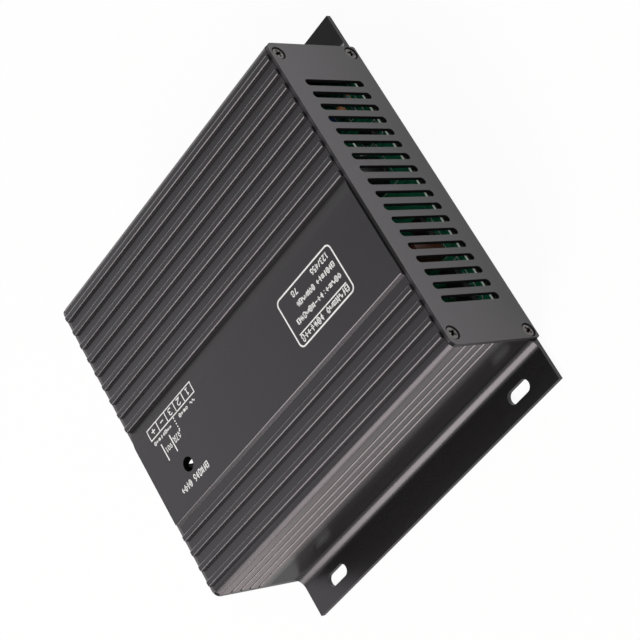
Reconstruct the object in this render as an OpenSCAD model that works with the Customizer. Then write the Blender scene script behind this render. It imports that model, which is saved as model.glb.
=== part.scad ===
// Generator battery charger in an extruded aluminium housing with slotted mounting flanges.
// The origin is the centre of the slot pattern, on the plane that the flanges rest on.
// X runs along the extrusion towards the wiring terminals, Y across it and Z up.

/* [Housing] */
// Length of the extrusion between its end plates, mm
housing_length = 156; // [150:1:166]
// Width over the two side walls, mm
housing_width = 140; // [138:0.5:146]
// Height of the roof between the ridges, above the mounting plane, mm
roof_height = 47.4; // [46.8:0.2:52]
// Thickness of the side walls, mm
wall_thickness = 2.6; // [2.2:0.1:2.8]
// Thickness of the roof between the ridges, mm
roof_thickness = 2.4; // [2:0.1:2.8]
// Radius of the two upper corners, mm
top_corner_radius = 3; // [1:0.2:4.6]

/* [Ridges and label panel] */
// Height of the ridges and of the label panel above the roof, mm
ridge_height = 1.7; // [1.1:0.1:2.2]
// Width of one ridge, mm
ridge_width = 2.8; // [2.4:0.1:3.1]
// Distance between ridge centres, mm
ridge_pitch = 6.95; // [6.6:0.05:7.1]
// Radius along the upper edges of a ridge, mm
ridge_edge_radius = 0.95; // [0.3:0.05:1.05]
// Ridges on the wide side of the label panel
wide_side_ridges = 9; // [7:1:9]
// Ridges on the narrow side of the label panel
narrow_side_ridges = 4; // [3:1:4]
// Distance from the wall on the wide side to the centre of its outermost ridge, mm
wide_side_inset = 6.2; // [5.6:0.1:6.6]
// Distance from the wall on the narrow side to the centre of its outermost ridge, mm
narrow_side_inset = 5.4; // [5:0.1:6]
// Slope of the ramp that rises to the label panel, degrees
ramp_slope = 14; // [12:0.5:18]
// Radius between the ramp and the label panel, mm
ramp_radius = 14; // [6:1:16]
// Width of the bevelled edge of the label panel, mm
bevel_width = 1.1; // [0.8:0.1:2.4]
// Radius between the label panel and its bevelled edge, mm
bevel_radius = 0.8; // [0.4:0.1:1.2]

/* [Wall grooves] */
// Grooves along each side wall
groove_count = 4; // [2:1:4]
// Distance between groove centres, mm
groove_pitch = 4.9; // [4:0.1:5.2]
// Width of a groove at the wall face, mm
groove_width = 1.5; // [1.2:0.1:2.2]
// Depth of a groove, mm
groove_depth = 1.1; // [0.6:0.1:1.3]
// Distance from the roof down to the uppermost groove, mm
groove_drop = 7.8; // [7:0.2:9]

/* [Mounting flanges] */
// Distance that each flange stands out from its wall, mm
flange_width = 17.5; // [16.5:0.5:22]
// Thickness of the flanges, mm
flange_thickness = 2; // [1.6:0.1:3]
// Radius of the fillet between wall and flange, mm
flange_fillet = 4.5; // [3:0.5:5.5]
// Distance from each end of the housing to the slot centres, mm
slot_end_distance = 18; // [12:1:30]
// Distance from the edge of a flange to its slot centres, mm
slot_edge_distance = 7.5; // [6:0.5:8]
// Width of a mounting slot, mm
slot_width = 5.2; // [4.4:0.1:5.6]
// Length of a mounting slot, mm
slot_length = 12; // [8:0.5:16]

/* [End plates] */
// Thickness of the end plates, mm
plate_thickness = 1.5; // [1.4:0.1:2]
// Distance that the upper edge of a plate stays below the roof, mm
plate_drop = 0.2; // [0.1:0.1:0.8]
// Radius of the lower corners of the plates, mm
plate_corner_radius = 1; // [0.5:0.1:1.5]
// Ventilation slots in the plate
vent_count = 18; // [10:1:19]
// Distance between ventilation slots, mm
vent_pitch = 5.96; // [5.2:0.02:6.1]
// Width of a ventilation slot, mm
vent_width = 3.1; // [2:0.1:3.8]
// Length of a ventilation slot, mm
vent_length = 30.6; // [20:0.2:32]
// Height of the slot centres above the mounting plane, mm
vent_centre_height = 23.3; // [22:0.1:24]

/* [Screws] */
// Diameter of the screw shafts, mm
screw_d = 3; // [2.6:0.1:3]
// Diameter of the countersunk heads, mm
screw_head_d = 5.6; // [5.4:0.1:5.8]
// Length of the plate screws, mm
screw_length = 8; // [6:0.5:12]

/* [Circuit board] */
// Thickness of the board, mm
board_thickness = 1.6; // [1.2:0.1:1.6]
// Height of the slides that carry the board, mm
boss_height = 7.4; // [7.2:0.1:7.8]
// Distance from each end of the housing to the board edge, mm
board_end_gap = 1.5; // [0.5:0.1:2]
// Thickness of the plate that closes the underside, mm
base_plate_thickness = 1.5; // [1:0.1:1.8]

/* [Wiring terminals] */
// Distance between neighbouring terminals, mm
terminal_pitch = 9.5; // [8.5:0.1:9.8]
// Centre of the terminal row across the housing, mm
terminal_centre_y = 14; // [12:0.5:16]
// Distance that the terminal block stands out from its end plate, mm
terminal_reach = 13.5; // [12.5:0.5:15]
// Height of the terminal block, mm
terminal_height = 16; // [14:0.5:18]

/* [Charge lamp] */
// Diameter of the lamp hole in the label panel, mm
lamp_hole_d = 5.9; // [5.4:0.1:6.5]
// Diameter of the lamp, mm
lamp_d = 5; // [4.4:0.1:5]
// Distance from the terminal end of the housing to the lamp, mm
lamp_end_distance = 21.85; // [21:0.25:23.5]
// Distance from the bevelled edge of the label panel to the lamp, mm
lamp_edge_distance = 13.75; // [11:0.25:15]

/* [Transformer and coils] */
// Length of the transformer core, mm
core_length = 42; // [40:0.5:44]
// Depth of the transformer core, mm
core_depth = 15; // [13:0.5:16]
// Height of the transformer core, mm
core_height = 26; // [25:0.5:27]
// Ring radius of the output coil, mm
output_ring_radius = 10.5; // [10:0.1:11]
// Radius of the output coil's round core, mm
output_core_radius = 4.2; // [3.6:0.1:4.2]
// Turns of the output coil
output_turns = 22; // [12:1:22]
// Ring radius of the mains filter coil, mm
filter_ring_radius = 8; // [7.8:0.1:8.4]
// Radius of the mains filter coil's round core, mm
filter_core_radius = 3; // [2.6:0.1:3.2]

/* [Capacitors] */
// Diameter of the mains smoothing capacitor, mm
smoothing_can_d = 22; // [18:1:24]
// Height of the mains smoothing capacitor, mm
smoothing_can_height = 30; // [25:1:31]
// Diameter of the two output capacitors, mm
output_can_d = 16; // [12.5:0.5:16]
// Height of the two output capacitors, mm
output_can_height = 25; // [20:1:31]
// Diameter of the supply capacitor behind the ventilation slots, mm
supply_can_d = 16; // [12.5:0.5:17]
// Height of the supply capacitor behind the ventilation slots, mm
supply_can_height = 20; // [16:1:31]

/* [Clearances] */
// Radial clearance of a screw shaft in its tapped hole, mm
thread_clearance = 0.05; // [0.02:0.01:0.1]
// Radial clearance of a screw shaft in a plate, mm
hole_clearance = 0.2; // [0.15:0.05:0.25]
// Clearance between a sliding plate or board and its groove, mm
slide_clearance = 0.1; // [0.05:0.01:0.15]
// Clearance round the terminal block in its end plate, mm
opening_clearance = 0.25; // [0.1:0.05:0.5]

/* [Hidden] */
$fn = 64;

half_length = housing_length / 2;
half_width = housing_width / 2;
inner_half_width = half_width - wall_thickness;
ceiling_height = roof_height - roof_thickness;
crest_height = roof_height + ridge_height;
flange_edge = half_width + flange_width;
slot_x = half_length - slot_end_distance;
slot_y = flange_edge - slot_edge_distance;
cut_margin = 1;

// The outermost ridge on each side is placed from its wall, and the label panel from the innermost ones.
wide_side_first_y = wide_side_inset - half_width;
narrow_side_first_y = half_width - narrow_side_inset;
wide_side_last_y = wide_side_first_y + (wide_side_ridges - 1) * ridge_pitch;
narrow_side_last_y = narrow_side_first_y - (narrow_side_ridges - 1) * ridge_pitch;
ramp_gap = 0.4;
bevel_gap = 3.95;
ramp_foot_y = wide_side_last_y + ridge_width / 2 + ramp_gap;
ramp_arc_width = ramp_radius * sin(ramp_slope);
ramp_arc_height = ramp_radius * (1 - cos(ramp_slope));
ramp_straight_width = (ridge_height - ramp_arc_height) / tan(ramp_slope);
ramp_bend_y = ramp_foot_y + ramp_straight_width;
ramp_top_y = ramp_bend_y + ramp_arc_width;
bevel_foot_y = narrow_side_last_y - ridge_width / 2 - bevel_gap;
bevel_top_y = bevel_foot_y - bevel_width;
bevel_angle = atan2(ridge_height, bevel_width);
bevel_tangent = bevel_radius * tan(bevel_angle / 2);
groove_lip = 0.35;

// Screws: the upper pair runs in round ports under the roof, the lower pair in the board slides.
bore_r = screw_d / 2 + thread_clearance;
port_wall = 1.65;
port_r = bore_r + port_wall;
upper_screw_inset = 5.1;
upper_screw_drop = 4.1;
lower_screw_inset = 3.4;
upper_screw_y = half_width - upper_screw_inset;
upper_screw_z = roof_height - upper_screw_drop;
lower_screw_y = half_width - lower_screw_inset;
lower_screw_z = 3.7;
boss_width = 4.8;
boss_face_y = inner_half_width - boss_width;
screw_seat_margin = 0.5;
screw_seat_d = screw_head_d + screw_seat_margin;
screw_sink = (screw_seat_d - screw_head_d) / 2;

// The board rests on the slides and a rib above each board edge holds it down.
board_bottom = boss_height;
board_top = boss_height + board_thickness;
board_half_length = half_length - board_end_gap;
board_side_clearance = 0.5;
board_half_width = inner_half_width - board_side_clearance;
rib_width = 2.2;
rib_height = 1.5;
rib_bottom = board_top + slide_clearance / 2;

// The plate that closes the underside slides in a groove of each board slide.
base_groove_bottom = 0.8;
base_groove_depth = 1.4;
base_groove_height = base_plate_thickness + slide_clearance;
base_plate_bottom = base_groove_bottom + slide_clearance / 2;
base_plate_top = base_plate_bottom + base_plate_thickness;
base_plate_half_width = boss_face_y + base_groove_depth - slide_clearance;
base_plate_half_length = half_length - 2 * slide_clearance;
sheet_thickness = 0.4;
sheet_side_gap = 0.6;
sheet_end_gap = 2;
sheet_half_width = boss_face_y - sheet_side_gap;
sheet_half_length = half_length - sheet_end_gap;

// The thick rails inside the side walls carry the power devices.
rail_depth = 3.4;
rail_bottom = 14;
rail_top = 36;
rail_face_y = inner_half_width - rail_depth;

// End plates.
plate_outer_x = half_length + plate_thickness;
plate_height = roof_height - plate_drop;
slot_end_r = slot_width / 2;

// Wiring terminals: a row of open cells with a wall on each side.
terminal_count = 5;
terminal_wall = 1.6;
terminal_half_width = (terminal_count * terminal_pitch + terminal_wall) / 2;
terminal_board_depth = 12.5;
terminal_back_x = board_half_length - terminal_board_depth;
terminal_front_x = plate_outer_x + terminal_reach;
terminal_rear_wall = 0.8;
terminal_cell_x = plate_outer_x + terminal_rear_wall;
terminal_floor = 6;
terminal_base = 3;
terminal_foot_x = half_length - opening_clearance;
clamp_thickness = 1;
clamp_side_gap = 0.4;
clamp_half_width = (terminal_pitch - terminal_wall) / 2 - clamp_side_gap;
clamp_front_gap = 1.6;
clamp_floor_z = board_top + terminal_floor;
terminal_screw_x = (terminal_cell_x + terminal_front_x) / 2;
terminal_screw_d = 3;
terminal_screw_head_d = 5.6;
terminal_screw_head_height = 2;
terminal_screw_length = 4.4;

// Charge lamp on a tube that stands on the board under the label panel.
lamp_x = half_length - lamp_end_distance;
lamp_y = bevel_top_y - lamp_edge_distance;
lamp_flange_lip = 0.4;
lamp_flange_d = lamp_d + 2 * lamp_flange_lip;
lamp_flange_height = 1;
lamp_total_height = 8.6;
lamp_top_drop = 0.8;
lamp_bottom = crest_height - lamp_top_drop - lamp_total_height;
lamp_lead = 0.5;
lamp_lead_spacing = 2.54;
spacer_d = 7;
spacer_bore_d = 4.2;

// Transformer in the middle of the board, with its winding on the middle leg of two E cores.
transformer_x = 8;
transformer_y = 4;
core_leg = 6;
core_middle_leg = 12;
core_lift = 3.5;
core_bottom = board_top + core_lift;
window_bottom = core_bottom + core_leg;
window_top = core_bottom + core_height - core_leg;
window_half_width = core_length / 2 - core_leg;
bobbin_gap = 0.15;
bobbin_wall = 1.2;
bobbin_half_x = window_half_width - bobbin_gap;
bobbin_overhang = 10;
bobbin_foot_gap = 1;
bobbin_half_y = core_depth / 2 + bobbin_overhang;
bobbin_bottom = window_bottom + bobbin_gap;
bobbin_top = window_top - bobbin_gap;
tube_half_x = core_middle_leg / 2 + bobbin_gap + bobbin_wall;
tube_half_y = core_depth / 2 + bobbin_gap + bobbin_wall;
bobbin_foot_y = core_depth / 2 + bobbin_foot_gap;
winding_inset = 0.9;
winding_half_x = bobbin_half_x - winding_inset;
winding_half_y = bobbin_half_y - winding_inset;
winding_corner = 4;

// Output coil, lying flat on the board.
output_coil_x = -25;
output_coil_inset = 23;
output_coil_y = rail_face_y - output_coil_inset;
output_wire_d = 1.2;
output_loop_r = output_core_radius + output_wire_d / 2;
output_coil_z = board_top + output_core_radius + output_wire_d;

// Mains filter coil, lying on a small plastic base, with its two windings apart.
filter_coil_place = [54, 19];
filter_wire_d = 0.9;
filter_turns = 9;
filter_turn_angle = 15;
filter_base_thickness = 1.5;
filter_base_lip = 0.6;
filter_base_r = filter_ring_radius + filter_core_radius + filter_wire_d + filter_base_lip;
filter_loop_r = filter_core_radius + filter_wire_d / 2;
filter_coil_lift = filter_base_thickness + filter_core_radius + filter_wire_d;

// Capacitors: each place is the distance from the nearer end and from the nearer rail.
smoothing_place = [34, 46];
output_can_place = [58, 18];
output_can_spacing = 18;
supply_place = [15, 44];
line_capacitor_size = [18, 8.5, 15];
line_capacitor_place = [28, 26];
film_capacitor_size = [5, 7.2, 15.5];
film_capacitor_place = [7.8, 42.9];

// Power devices on the rails, with an insulating pad behind each of them.
pad_thickness = 0.3;
device_width = 10;
device_body_height = 9;
device_height = 15.8;
device_thickness = 4.5;
device_tab_thickness = 1.3;
device_lift = 5.5;
device_bottom = board_top + device_lift;
device_hole_drop = 2.9;
device_hole_z = device_bottom + device_height - device_hole_drop;
device_hole_r = screw_d / 2 + hole_clearance;
device_lead_spacing = 2.54;
device_lead_size = [0.8, 0.5];
switch_x = -8;
output_rectifier_x = 12;
bridge_end_distance = 32;
bridge_x = half_length - bridge_end_distance;
bridge_width = 22;
bridge_height = 18.5;
bridge_thickness = 3.6;
bridge_hole_drop = 5;
bridge_hole_z = device_bottom + bridge_height - bridge_hole_drop;
bridge_lead_spacing = 5;
pad_margin = 0.8;
device_screw_depth = 3.8;
tapped_hole_depth = 4.3;
pan_head_d = 5.6;
pan_head_height = 2.2;

// Mains fuse across the board beside the terminals.
fuse_place = [9, 27];
fuse_x = half_length - fuse_place[0];
fuse_y = fuse_place[1] - rail_face_y;
fuse_length = 20;
fuse_d = 5;
fuse_cap_d = 5.2;
fuse_cap_length = 5;
fuse_wall = 0.5;
clip_metal = 0.4;
clip_width = 4;
clip_foot = 1;
fuse_z = board_top + clip_metal + fuse_cap_d / 2 + clip_foot;
clip_centre = (fuse_length - fuse_cap_length) / 2;

// Disc parts near the fuse.
thermistor_place = [26, 12];
thermistor_d = 11;
varistor_d = 11;
varistor_end_distance = 15;
varistor_terminal_gap = 2.95;
varistor_x = half_length - varistor_end_distance;
varistor_y = terminal_centre_y - terminal_half_width - varistor_terminal_gap - varistor_d / 2;
disc_thickness = 4;
disc_lead_d = 0.7;
disc_lead_spacing = 5;
disc_lift = 1.5;

// Small parts behind the ventilation slots.
pin_pitch = 2.54;
pin_width = 0.5;
pin_metal = 0.25;
chip_body_width = 6.4;
chip_row_spacing = 7.62;
chip_body_height = 3.3;
chip_lift = 0.6;
timer_chip_place = [8, 52];
control_chip_place = [7.2, 26];
optocoupler_place = [5.4, 31];
barrier_slot_size = [2, 14];
barrier_slot_distance = 9;
sense_resistor_place = [4.5, 15.3];
sense_resistor_span = 11;
resistor_d = 2.5;
resistor_length = 6.6;
resistor_lead_d = 0.6;
resistor_lift = 0.3;
ceramic_place = [8.6, 17.2];
ceramic_d = 5;
ceramic_thickness = 2.2;
small_resistor_place = [25, 58];
small_resistor_pitch = 4.6;
small_resistor_count = 4;
small_resistor_span = 12;
trimmer_place = [20, 14];
trimmer_size = [7, 7, 4.6];
trimmer_rotor_d = 4.6;
trimmer_rotor_height = 0.8;
trimmer_slot_width = 0.7;

metal_black = [0.12, 0.12, 0.13];
zinc = [0.72, 0.74, 0.76];
ferrite = [0.2, 0.2, 0.21];
copper = [0.72, 0.4, 0.2];

// Moves a part to its place on the board: side -1 or 1 says which rail its place is measured from.
module near_terminals(place, side) {
  translate([half_length - place[0], side * (rail_face_y - place[1]), board_top]) children();
}

module near_vents(place, side) {
  translate([place[0] - board_half_length, side * (rail_face_y - place[1]), board_top]) children();
}

// Extrudes a cross-section drawn in Y and Z along the X axis, centred on the origin.
module along_x(length) {
  rotate([90, 0, 90]) linear_extrude(height = length, center = true) children();
}

// A cross-section detail and its mirror image about the centre plane.
module both_sides() {
  children();
  mirror([1, 0, 0]) children();
}

module ridge_section(centre_y) {
  translate([centre_y - ridge_width / 2, roof_height - cut_margin])
    square([ridge_width, ridge_height + cut_margin - ridge_edge_radius]);
  translate([centre_y - ridge_width / 2 + ridge_edge_radius, roof_height])
    square([ridge_width - 2 * ridge_edge_radius, ridge_height]);
  for (side = [-1, 1])
    translate([centre_y + side * (ridge_width / 2 - ridge_edge_radius), crest_height - ridge_edge_radius])
      circle(r = ridge_edge_radius, $fn = 24);
}

module ridge_sections() {
  for (i = [0 : wide_side_ridges - 1]) ridge_section(wide_side_first_y + i * ridge_pitch);
  for (i = [0 : narrow_side_ridges - 1]) ridge_section(narrow_side_first_y - i * ridge_pitch);
}

// A straight ramp bends into the panel. The panel's other edge is a bevel with a rounded top.
module label_panel_section() {
  polygon([
    [ramp_foot_y, roof_height - cut_margin],
    [bevel_foot_y - cut_margin, roof_height - cut_margin],
    [bevel_foot_y, roof_height],
    [bevel_top_y + bevel_tangent * cos(bevel_angle), crest_height - bevel_tangent * sin(bevel_angle)],
    [bevel_top_y - bevel_tangent, crest_height],
    [ramp_top_y, crest_height],
    [ramp_bend_y, crest_height - ramp_arc_height],
    [ramp_foot_y, roof_height]
  ]);
  translate([bevel_top_y - bevel_tangent, crest_height - bevel_radius]) circle(r = bevel_radius);
  intersection() {
    translate([ramp_top_y, crest_height - ramp_radius]) circle(r = ramp_radius, $fn = 96);
    translate([ramp_bend_y, roof_height]) square([ramp_arc_width + cut_margin, ridge_height + cut_margin]);
  }
}

// What is taken off an upper corner on the +Y side to round it.
module corner_cut(height) {
  difference() {
    translate([half_width - top_corner_radius, height - top_corner_radius])
      square([top_corner_radius + cut_margin, top_corner_radius + cut_margin]);
    translate([half_width - top_corner_radius, height - top_corner_radius])
      circle(r = top_corner_radius);
  }
}

module body_outline() {
  difference() {
    translate([-half_width, 0]) square([housing_width, roof_height]);
    both_sides() corner_cut(roof_height);
  }
}

module flange_section() {
  translate([half_width - cut_margin, 0]) square([flange_width + cut_margin, flange_thickness]);
  difference() {
    translate([half_width - cut_margin, 0])
      square([flange_fillet + cut_margin, flange_thickness + flange_fillet]);
    translate([half_width + flange_fillet, flange_thickness + flange_fillet]) circle(r = flange_fillet);
  }
}

// Each groove is square in the wall, and its lower lip is bevelled.
module wall_groove_sections() {
  for (i = [0 : groove_count - 1])
    translate([half_width, roof_height - groove_drop - i * groove_pitch])
      polygon([
        [-groove_depth, groove_width / 2],
        [cut_margin, groove_width / 2],
        [cut_margin, -groove_width / 2],
        [0, -groove_width / 2],
        [-groove_lip, groove_lip - groove_width / 2],
        [-groove_depth, groove_lip - groove_width / 2]
      ]);
}

// What stands inside the hollow on one side: screw port, board slide, board rib and device rail.
module inner_fittings_section() {
  translate([upper_screw_y, upper_screw_z]) circle(r = port_r);
  translate([boss_face_y, 0]) square([boss_width + cut_margin, boss_height]);
  translate([inner_half_width - rib_width, rib_bottom]) square([rib_width + cut_margin, rib_height]);
  translate([rail_face_y, rail_bottom]) square([rail_depth + cut_margin, rail_top - rail_bottom]);
}

module hollow_section() {
  difference() {
    translate([-inner_half_width, -cut_margin])
      square([2 * inner_half_width, ceiling_height + cut_margin]);
    both_sides() inner_fittings_section();
  }
  both_sides() {
    translate([upper_screw_y, upper_screw_z]) circle(r = bore_r);
    translate([lower_screw_y, lower_screw_z]) circle(r = bore_r);
    translate([boss_face_y - cut_margin, base_groove_bottom])
      square([base_groove_depth + cut_margin, base_groove_height]);
  }
}

module housing_section() {
  difference() {
    union() {
      body_outline();
      both_sides() flange_section();
      ridge_sections();
      label_panel_section();
    }
    both_sides() wall_groove_sections();
    hollow_section();
  }
}

module mounting_slot() {
  hole_travel = (slot_length - slot_width) / 2;
  for (side = [-1, 1])
    translate([side * hole_travel, 0, -cut_margin])
      cylinder(r = slot_end_r, h = flange_thickness + 2 * cut_margin);
  translate([-hole_travel, -slot_end_r, -cut_margin])
    cube([2 * hole_travel, slot_width, flange_thickness + 2 * cut_margin]);
}

// A blind hole that starts in a rail face, on the side given by its sign.
module tapped_hole(x, side, z) {
  translate([x, side * (rail_face_y - cut_margin), z])
    rotate([-90 * side, 0, 0]) cylinder(r = bore_r, h = tapped_hole_depth + cut_margin);
}

module housing() {
  color(metal_black) difference() {
    along_x(housing_length) housing_section();
    for (sx = [-1, 1], sy = [-1, 1])
      translate([sx * slot_x, sy * slot_y, 0]) mounting_slot();
    translate([lamp_x, lamp_y, ceiling_height - cut_margin])
      cylinder(d = lamp_hole_d, h = crest_height - ceiling_height + 2 * cut_margin);
    tapped_hole(switch_x, -1, device_hole_z);
    tapped_hole(bridge_x, -1, bridge_hole_z);
    tapped_hole(output_rectifier_x, 1, device_hole_z);
  }
}

module base_plate() {
  color(zinc)
    translate([-base_plate_half_length, -base_plate_half_width, base_plate_bottom])
      cube([2 * base_plate_half_length, 2 * base_plate_half_width, base_plate_thickness]);
}

module insulating_sheet() {
  color([0.9, 0.9, 0.86])
    translate([-sheet_half_length, -sheet_half_width, base_plate_top])
      cube([2 * sheet_half_length, 2 * sheet_half_width, sheet_thickness]);
}

module lower_corner_cut() {
  difference() {
    translate([half_width - plate_corner_radius, -cut_margin])
      square([plate_corner_radius + cut_margin, plate_corner_radius + cut_margin]);
    translate([half_width - plate_corner_radius, plate_corner_radius])
      circle(r = plate_corner_radius);
  }
}

module end_plate_outline() {
  difference() {
    translate([-half_width, 0]) square([housing_width, plate_height]);
    both_sides() {
      corner_cut(plate_height);
      lower_corner_cut();
    }
  }
}

// Clearance hole with a countersink that opens in the outer face of a plate at the +X end.
module plate_screw_hole() {
  hole_r = screw_d / 2 + hole_clearance;
  sink_depth = screw_seat_d / 2 - hole_r;
  rotate([0, 90, 0]) {
    translate([0, 0, -plate_thickness - cut_margin])
      cylinder(r = hole_r, h = plate_thickness + 2 * cut_margin);
    translate([0, 0, -sink_depth])
      cylinder(r1 = hole_r, r2 = screw_seat_d / 2, h = sink_depth);
    cylinder(r = screw_seat_d / 2, h = cut_margin);
  }
}

// Countersunk screw with a cross recess, head at the origin and shaft along -X.
module plate_screw() {
  head_depth = (screw_head_d - screw_d) / 2;
  recess_length = screw_head_d * 0.48;
  recess_width = screw_head_d * 0.15;
  recess_depth = 1;
  translate([-screw_sink, 0, 0]) rotate([0, 90, 0]) difference() {
    union() {
      translate([0, 0, -head_depth]) cylinder(d1 = screw_d, d2 = screw_head_d, h = head_depth);
      translate([0, 0, screw_sink - screw_length])
        cylinder(d = screw_d, h = screw_length - screw_sink - head_depth);
    }
    for (turn = [0, 90])
      rotate([0, 0, turn]) translate([-recess_length / 2, -recess_width / 2, -recess_depth])
        cube([recess_length, recess_width, recess_depth + cut_margin]);
  }
}

module at_plate_screws() {
  for (side = [-1, 1]) {
    translate([plate_outer_x, side * upper_screw_y, upper_screw_z]) children();
    translate([plate_outer_x, side * lower_screw_y, lower_screw_z]) children();
  }
}

module blank_end_plate() {
  difference() {
    translate([half_length + plate_thickness / 2, 0, 0]) along_x(plate_thickness) end_plate_outline();
    at_plate_screws() plate_screw_hole();
  }
}

module vent_opening() {
  half_travel = (vent_length - vent_width) / 2;
  for (side = [-1, 1]) translate([0, side * half_travel]) circle(d = vent_width, $fn = 32);
  translate([-vent_width / 2, -half_travel]) square([vent_width, 2 * half_travel]);
}

module vent_end_plate() {
  color(metal_black) mirror([1, 0, 0]) difference() {
    blank_end_plate();
    translate([half_length + plate_thickness / 2, 0, 0]) along_x(plate_thickness + 2 * cut_margin)
      for (i = [0 : vent_count - 1])
        translate([(i - (vent_count - 1) / 2) * vent_pitch, vent_centre_height]) vent_opening();
  }
}

module terminal_end_plate() {
  opening_half_width = terminal_half_width + opening_clearance;
  color(metal_black) difference() {
    blank_end_plate();
    translate([half_length - cut_margin, terminal_centre_y - opening_half_width,
      board_top - opening_clearance])
      cube([plate_thickness + 2 * cut_margin, 2 * opening_half_width,
        terminal_height + 2 * opening_clearance]);
  }
}

module vent_plate_screws() {
  color(metal_black) mirror([1, 0, 0]) at_plate_screws() plate_screw();
}

module terminal_plate_screws() {
  color(metal_black) at_plate_screws() plate_screw();
}

// The milled slot keeps the mains side of the board apart from the charging side.
module circuit_board() {
  color([0.05, 0.3, 0.18]) difference() {
    translate([-board_half_length, -board_half_width, board_bottom])
      cube([2 * board_half_length, 2 * board_half_width, board_thickness]);
    near_vents(optocoupler_place, -1) translate([barrier_slot_distance, 0, -board_thickness / 2])
      cube([barrier_slot_size[0], barrier_slot_size[1], board_thickness + 2 * cut_margin], center = true);
  }
}

module terminal_side_section() {
  polygon([
    [terminal_back_x, board_top],
    [terminal_foot_x, board_top],
    [terminal_foot_x, board_top + opening_clearance],
    [terminal_front_x, board_top + opening_clearance],
    [terminal_front_x, clamp_floor_z],
    [terminal_cell_x, clamp_floor_z],
    [terminal_cell_x, board_top + terminal_height],
    [terminal_back_x, board_top + terminal_height]
  ]);
}

// One wall between two cells, lower and bevelled towards the front.
module terminal_wall_section() {
  bevel = 3;
  polygon([
    [terminal_cell_x - cut_margin, board_top + terminal_base],
    [terminal_front_x, board_top + terminal_base],
    [terminal_front_x, board_top + terminal_height - bevel],
    [terminal_front_x - bevel, board_top + terminal_height],
    [terminal_cell_x - cut_margin, board_top + terminal_height]
  ]);
}

module along_y(length) {
  rotate([90, 0, 0]) linear_extrude(height = length, center = true) children();
}

module at_terminals() {
  for (i = [0 : terminal_count - 1])
    translate([0, terminal_centre_y + (i - (terminal_count - 1) / 2) * terminal_pitch, 0]) children();
}

module terminal_body() {
  slit_depth = 1;
  slit_height = clamp_thickness + slide_clearance;
  color([0.08, 0.08, 0.085]) difference() {
    union() {
      translate([0, terminal_centre_y, 0]) along_y(2 * terminal_half_width) terminal_side_section();
      for (i = [0 : terminal_count])
        translate([0, terminal_centre_y + (i - terminal_count / 2) * terminal_pitch, 0])
          along_y(terminal_wall) terminal_wall_section();
    }
    at_terminals() {
      translate([terminal_screw_x, 0, clamp_floor_z - terminal_screw_length])
        cylinder(r = terminal_screw_d / 2 + thread_clearance, h = terminal_screw_length + cut_margin);
      translate([terminal_cell_x - slit_depth, -clamp_half_width, clamp_floor_z])
        cube([slit_depth + cut_margin, 2 * clamp_half_width, slit_height]);
    }
  }
}

module terminal_clamps() {
  clamp_back_x = terminal_cell_x - 0.8;
  clamp_length = terminal_front_x - clamp_front_gap - clamp_back_x;
  color(zinc) at_terminals() difference() {
    translate([clamp_back_x, 0.1 - clamp_half_width, clamp_floor_z])
      cube([clamp_length, 2 * clamp_half_width - 0.2, clamp_thickness]);
    translate([terminal_screw_x, 0, clamp_floor_z - cut_margin])
      cylinder(r = terminal_screw_d / 2 + hole_clearance, h = clamp_thickness + 2 * cut_margin);
  }
}

module terminal_screws() {
  slot = [terminal_screw_head_d + 1, 0.9, 1.2];
  head_z = clamp_floor_z + clamp_thickness;
  color(zinc) at_terminals() translate([terminal_screw_x, 0, head_z]) difference() {
    union() {
      cylinder(d = terminal_screw_head_d, h = terminal_screw_head_height);
      translate([0, 0, 0.2 - terminal_screw_length])
        cylinder(d = terminal_screw_d, h = terminal_screw_length);
    }
    translate([-slot[0] / 2, -slot[1] / 2, terminal_screw_head_height - slot[2]]) cube(slot);
    rotate([0, 0, 90])
      translate([-slot[0] / 4, -slot[1] / 2, terminal_screw_head_height - slot[2]])
        cube([slot[0] / 2, slot[1], slot[2] + cut_margin]);
  }
}

module charge_lamp() {
  straight_height = lamp_total_height - lamp_d / 2;
  color([0.55, 0.1, 0.08]) translate([lamp_x, lamp_y, lamp_bottom]) {
    cylinder(d = lamp_flange_d, h = lamp_flange_height);
    cylinder(d = lamp_d, h = straight_height);
    translate([0, 0, straight_height]) sphere(d = lamp_d);
    for (side = [-1, 1])
      translate([side * lamp_lead_spacing / 2 - lamp_lead / 2, -lamp_lead / 2, board_top - lamp_bottom])
        cube([lamp_lead, lamp_lead, lamp_bottom - board_top + lamp_flange_height / 2]);
  }
}

module lamp_spacer() {
  color([0.92, 0.92, 0.9]) translate([lamp_x, lamp_y, board_top]) difference() {
    cylinder(d = spacer_d, h = lamp_bottom - board_top);
    translate([0, 0, -cut_margin])
      cylinder(d = spacer_bore_d, h = lamp_bottom - board_top + 2 * cut_margin);
  }
}

module e_core_section() {
  difference() {
    translate([-core_length / 2, 0]) square([core_length, core_height / 2]);
    for (side = [-1, 1])
      translate([side * (window_half_width + core_middle_leg / 2) / 2
        - (window_half_width - core_middle_leg / 2) / 2, core_leg])
        square([window_half_width - core_middle_leg / 2, core_height]);
  }
}

module e_core() {
  rotate([90, 0, 0]) linear_extrude(height = core_depth, center = true) e_core_section();
}

module transformer_core_lower() {
  color(ferrite) translate([transformer_x, transformer_y, core_bottom]) e_core();
}

module transformer_core_upper() {
  color(ferrite) translate([transformer_x, transformer_y, core_bottom + core_height])
    mirror([0, 0, 1]) e_core();
}

module bobbin_flange(bottom) {
  translate([-bobbin_half_x, -bobbin_half_y, bottom])
    cube([2 * bobbin_half_x, 2 * bobbin_half_y, bobbin_wall]);
}

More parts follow.
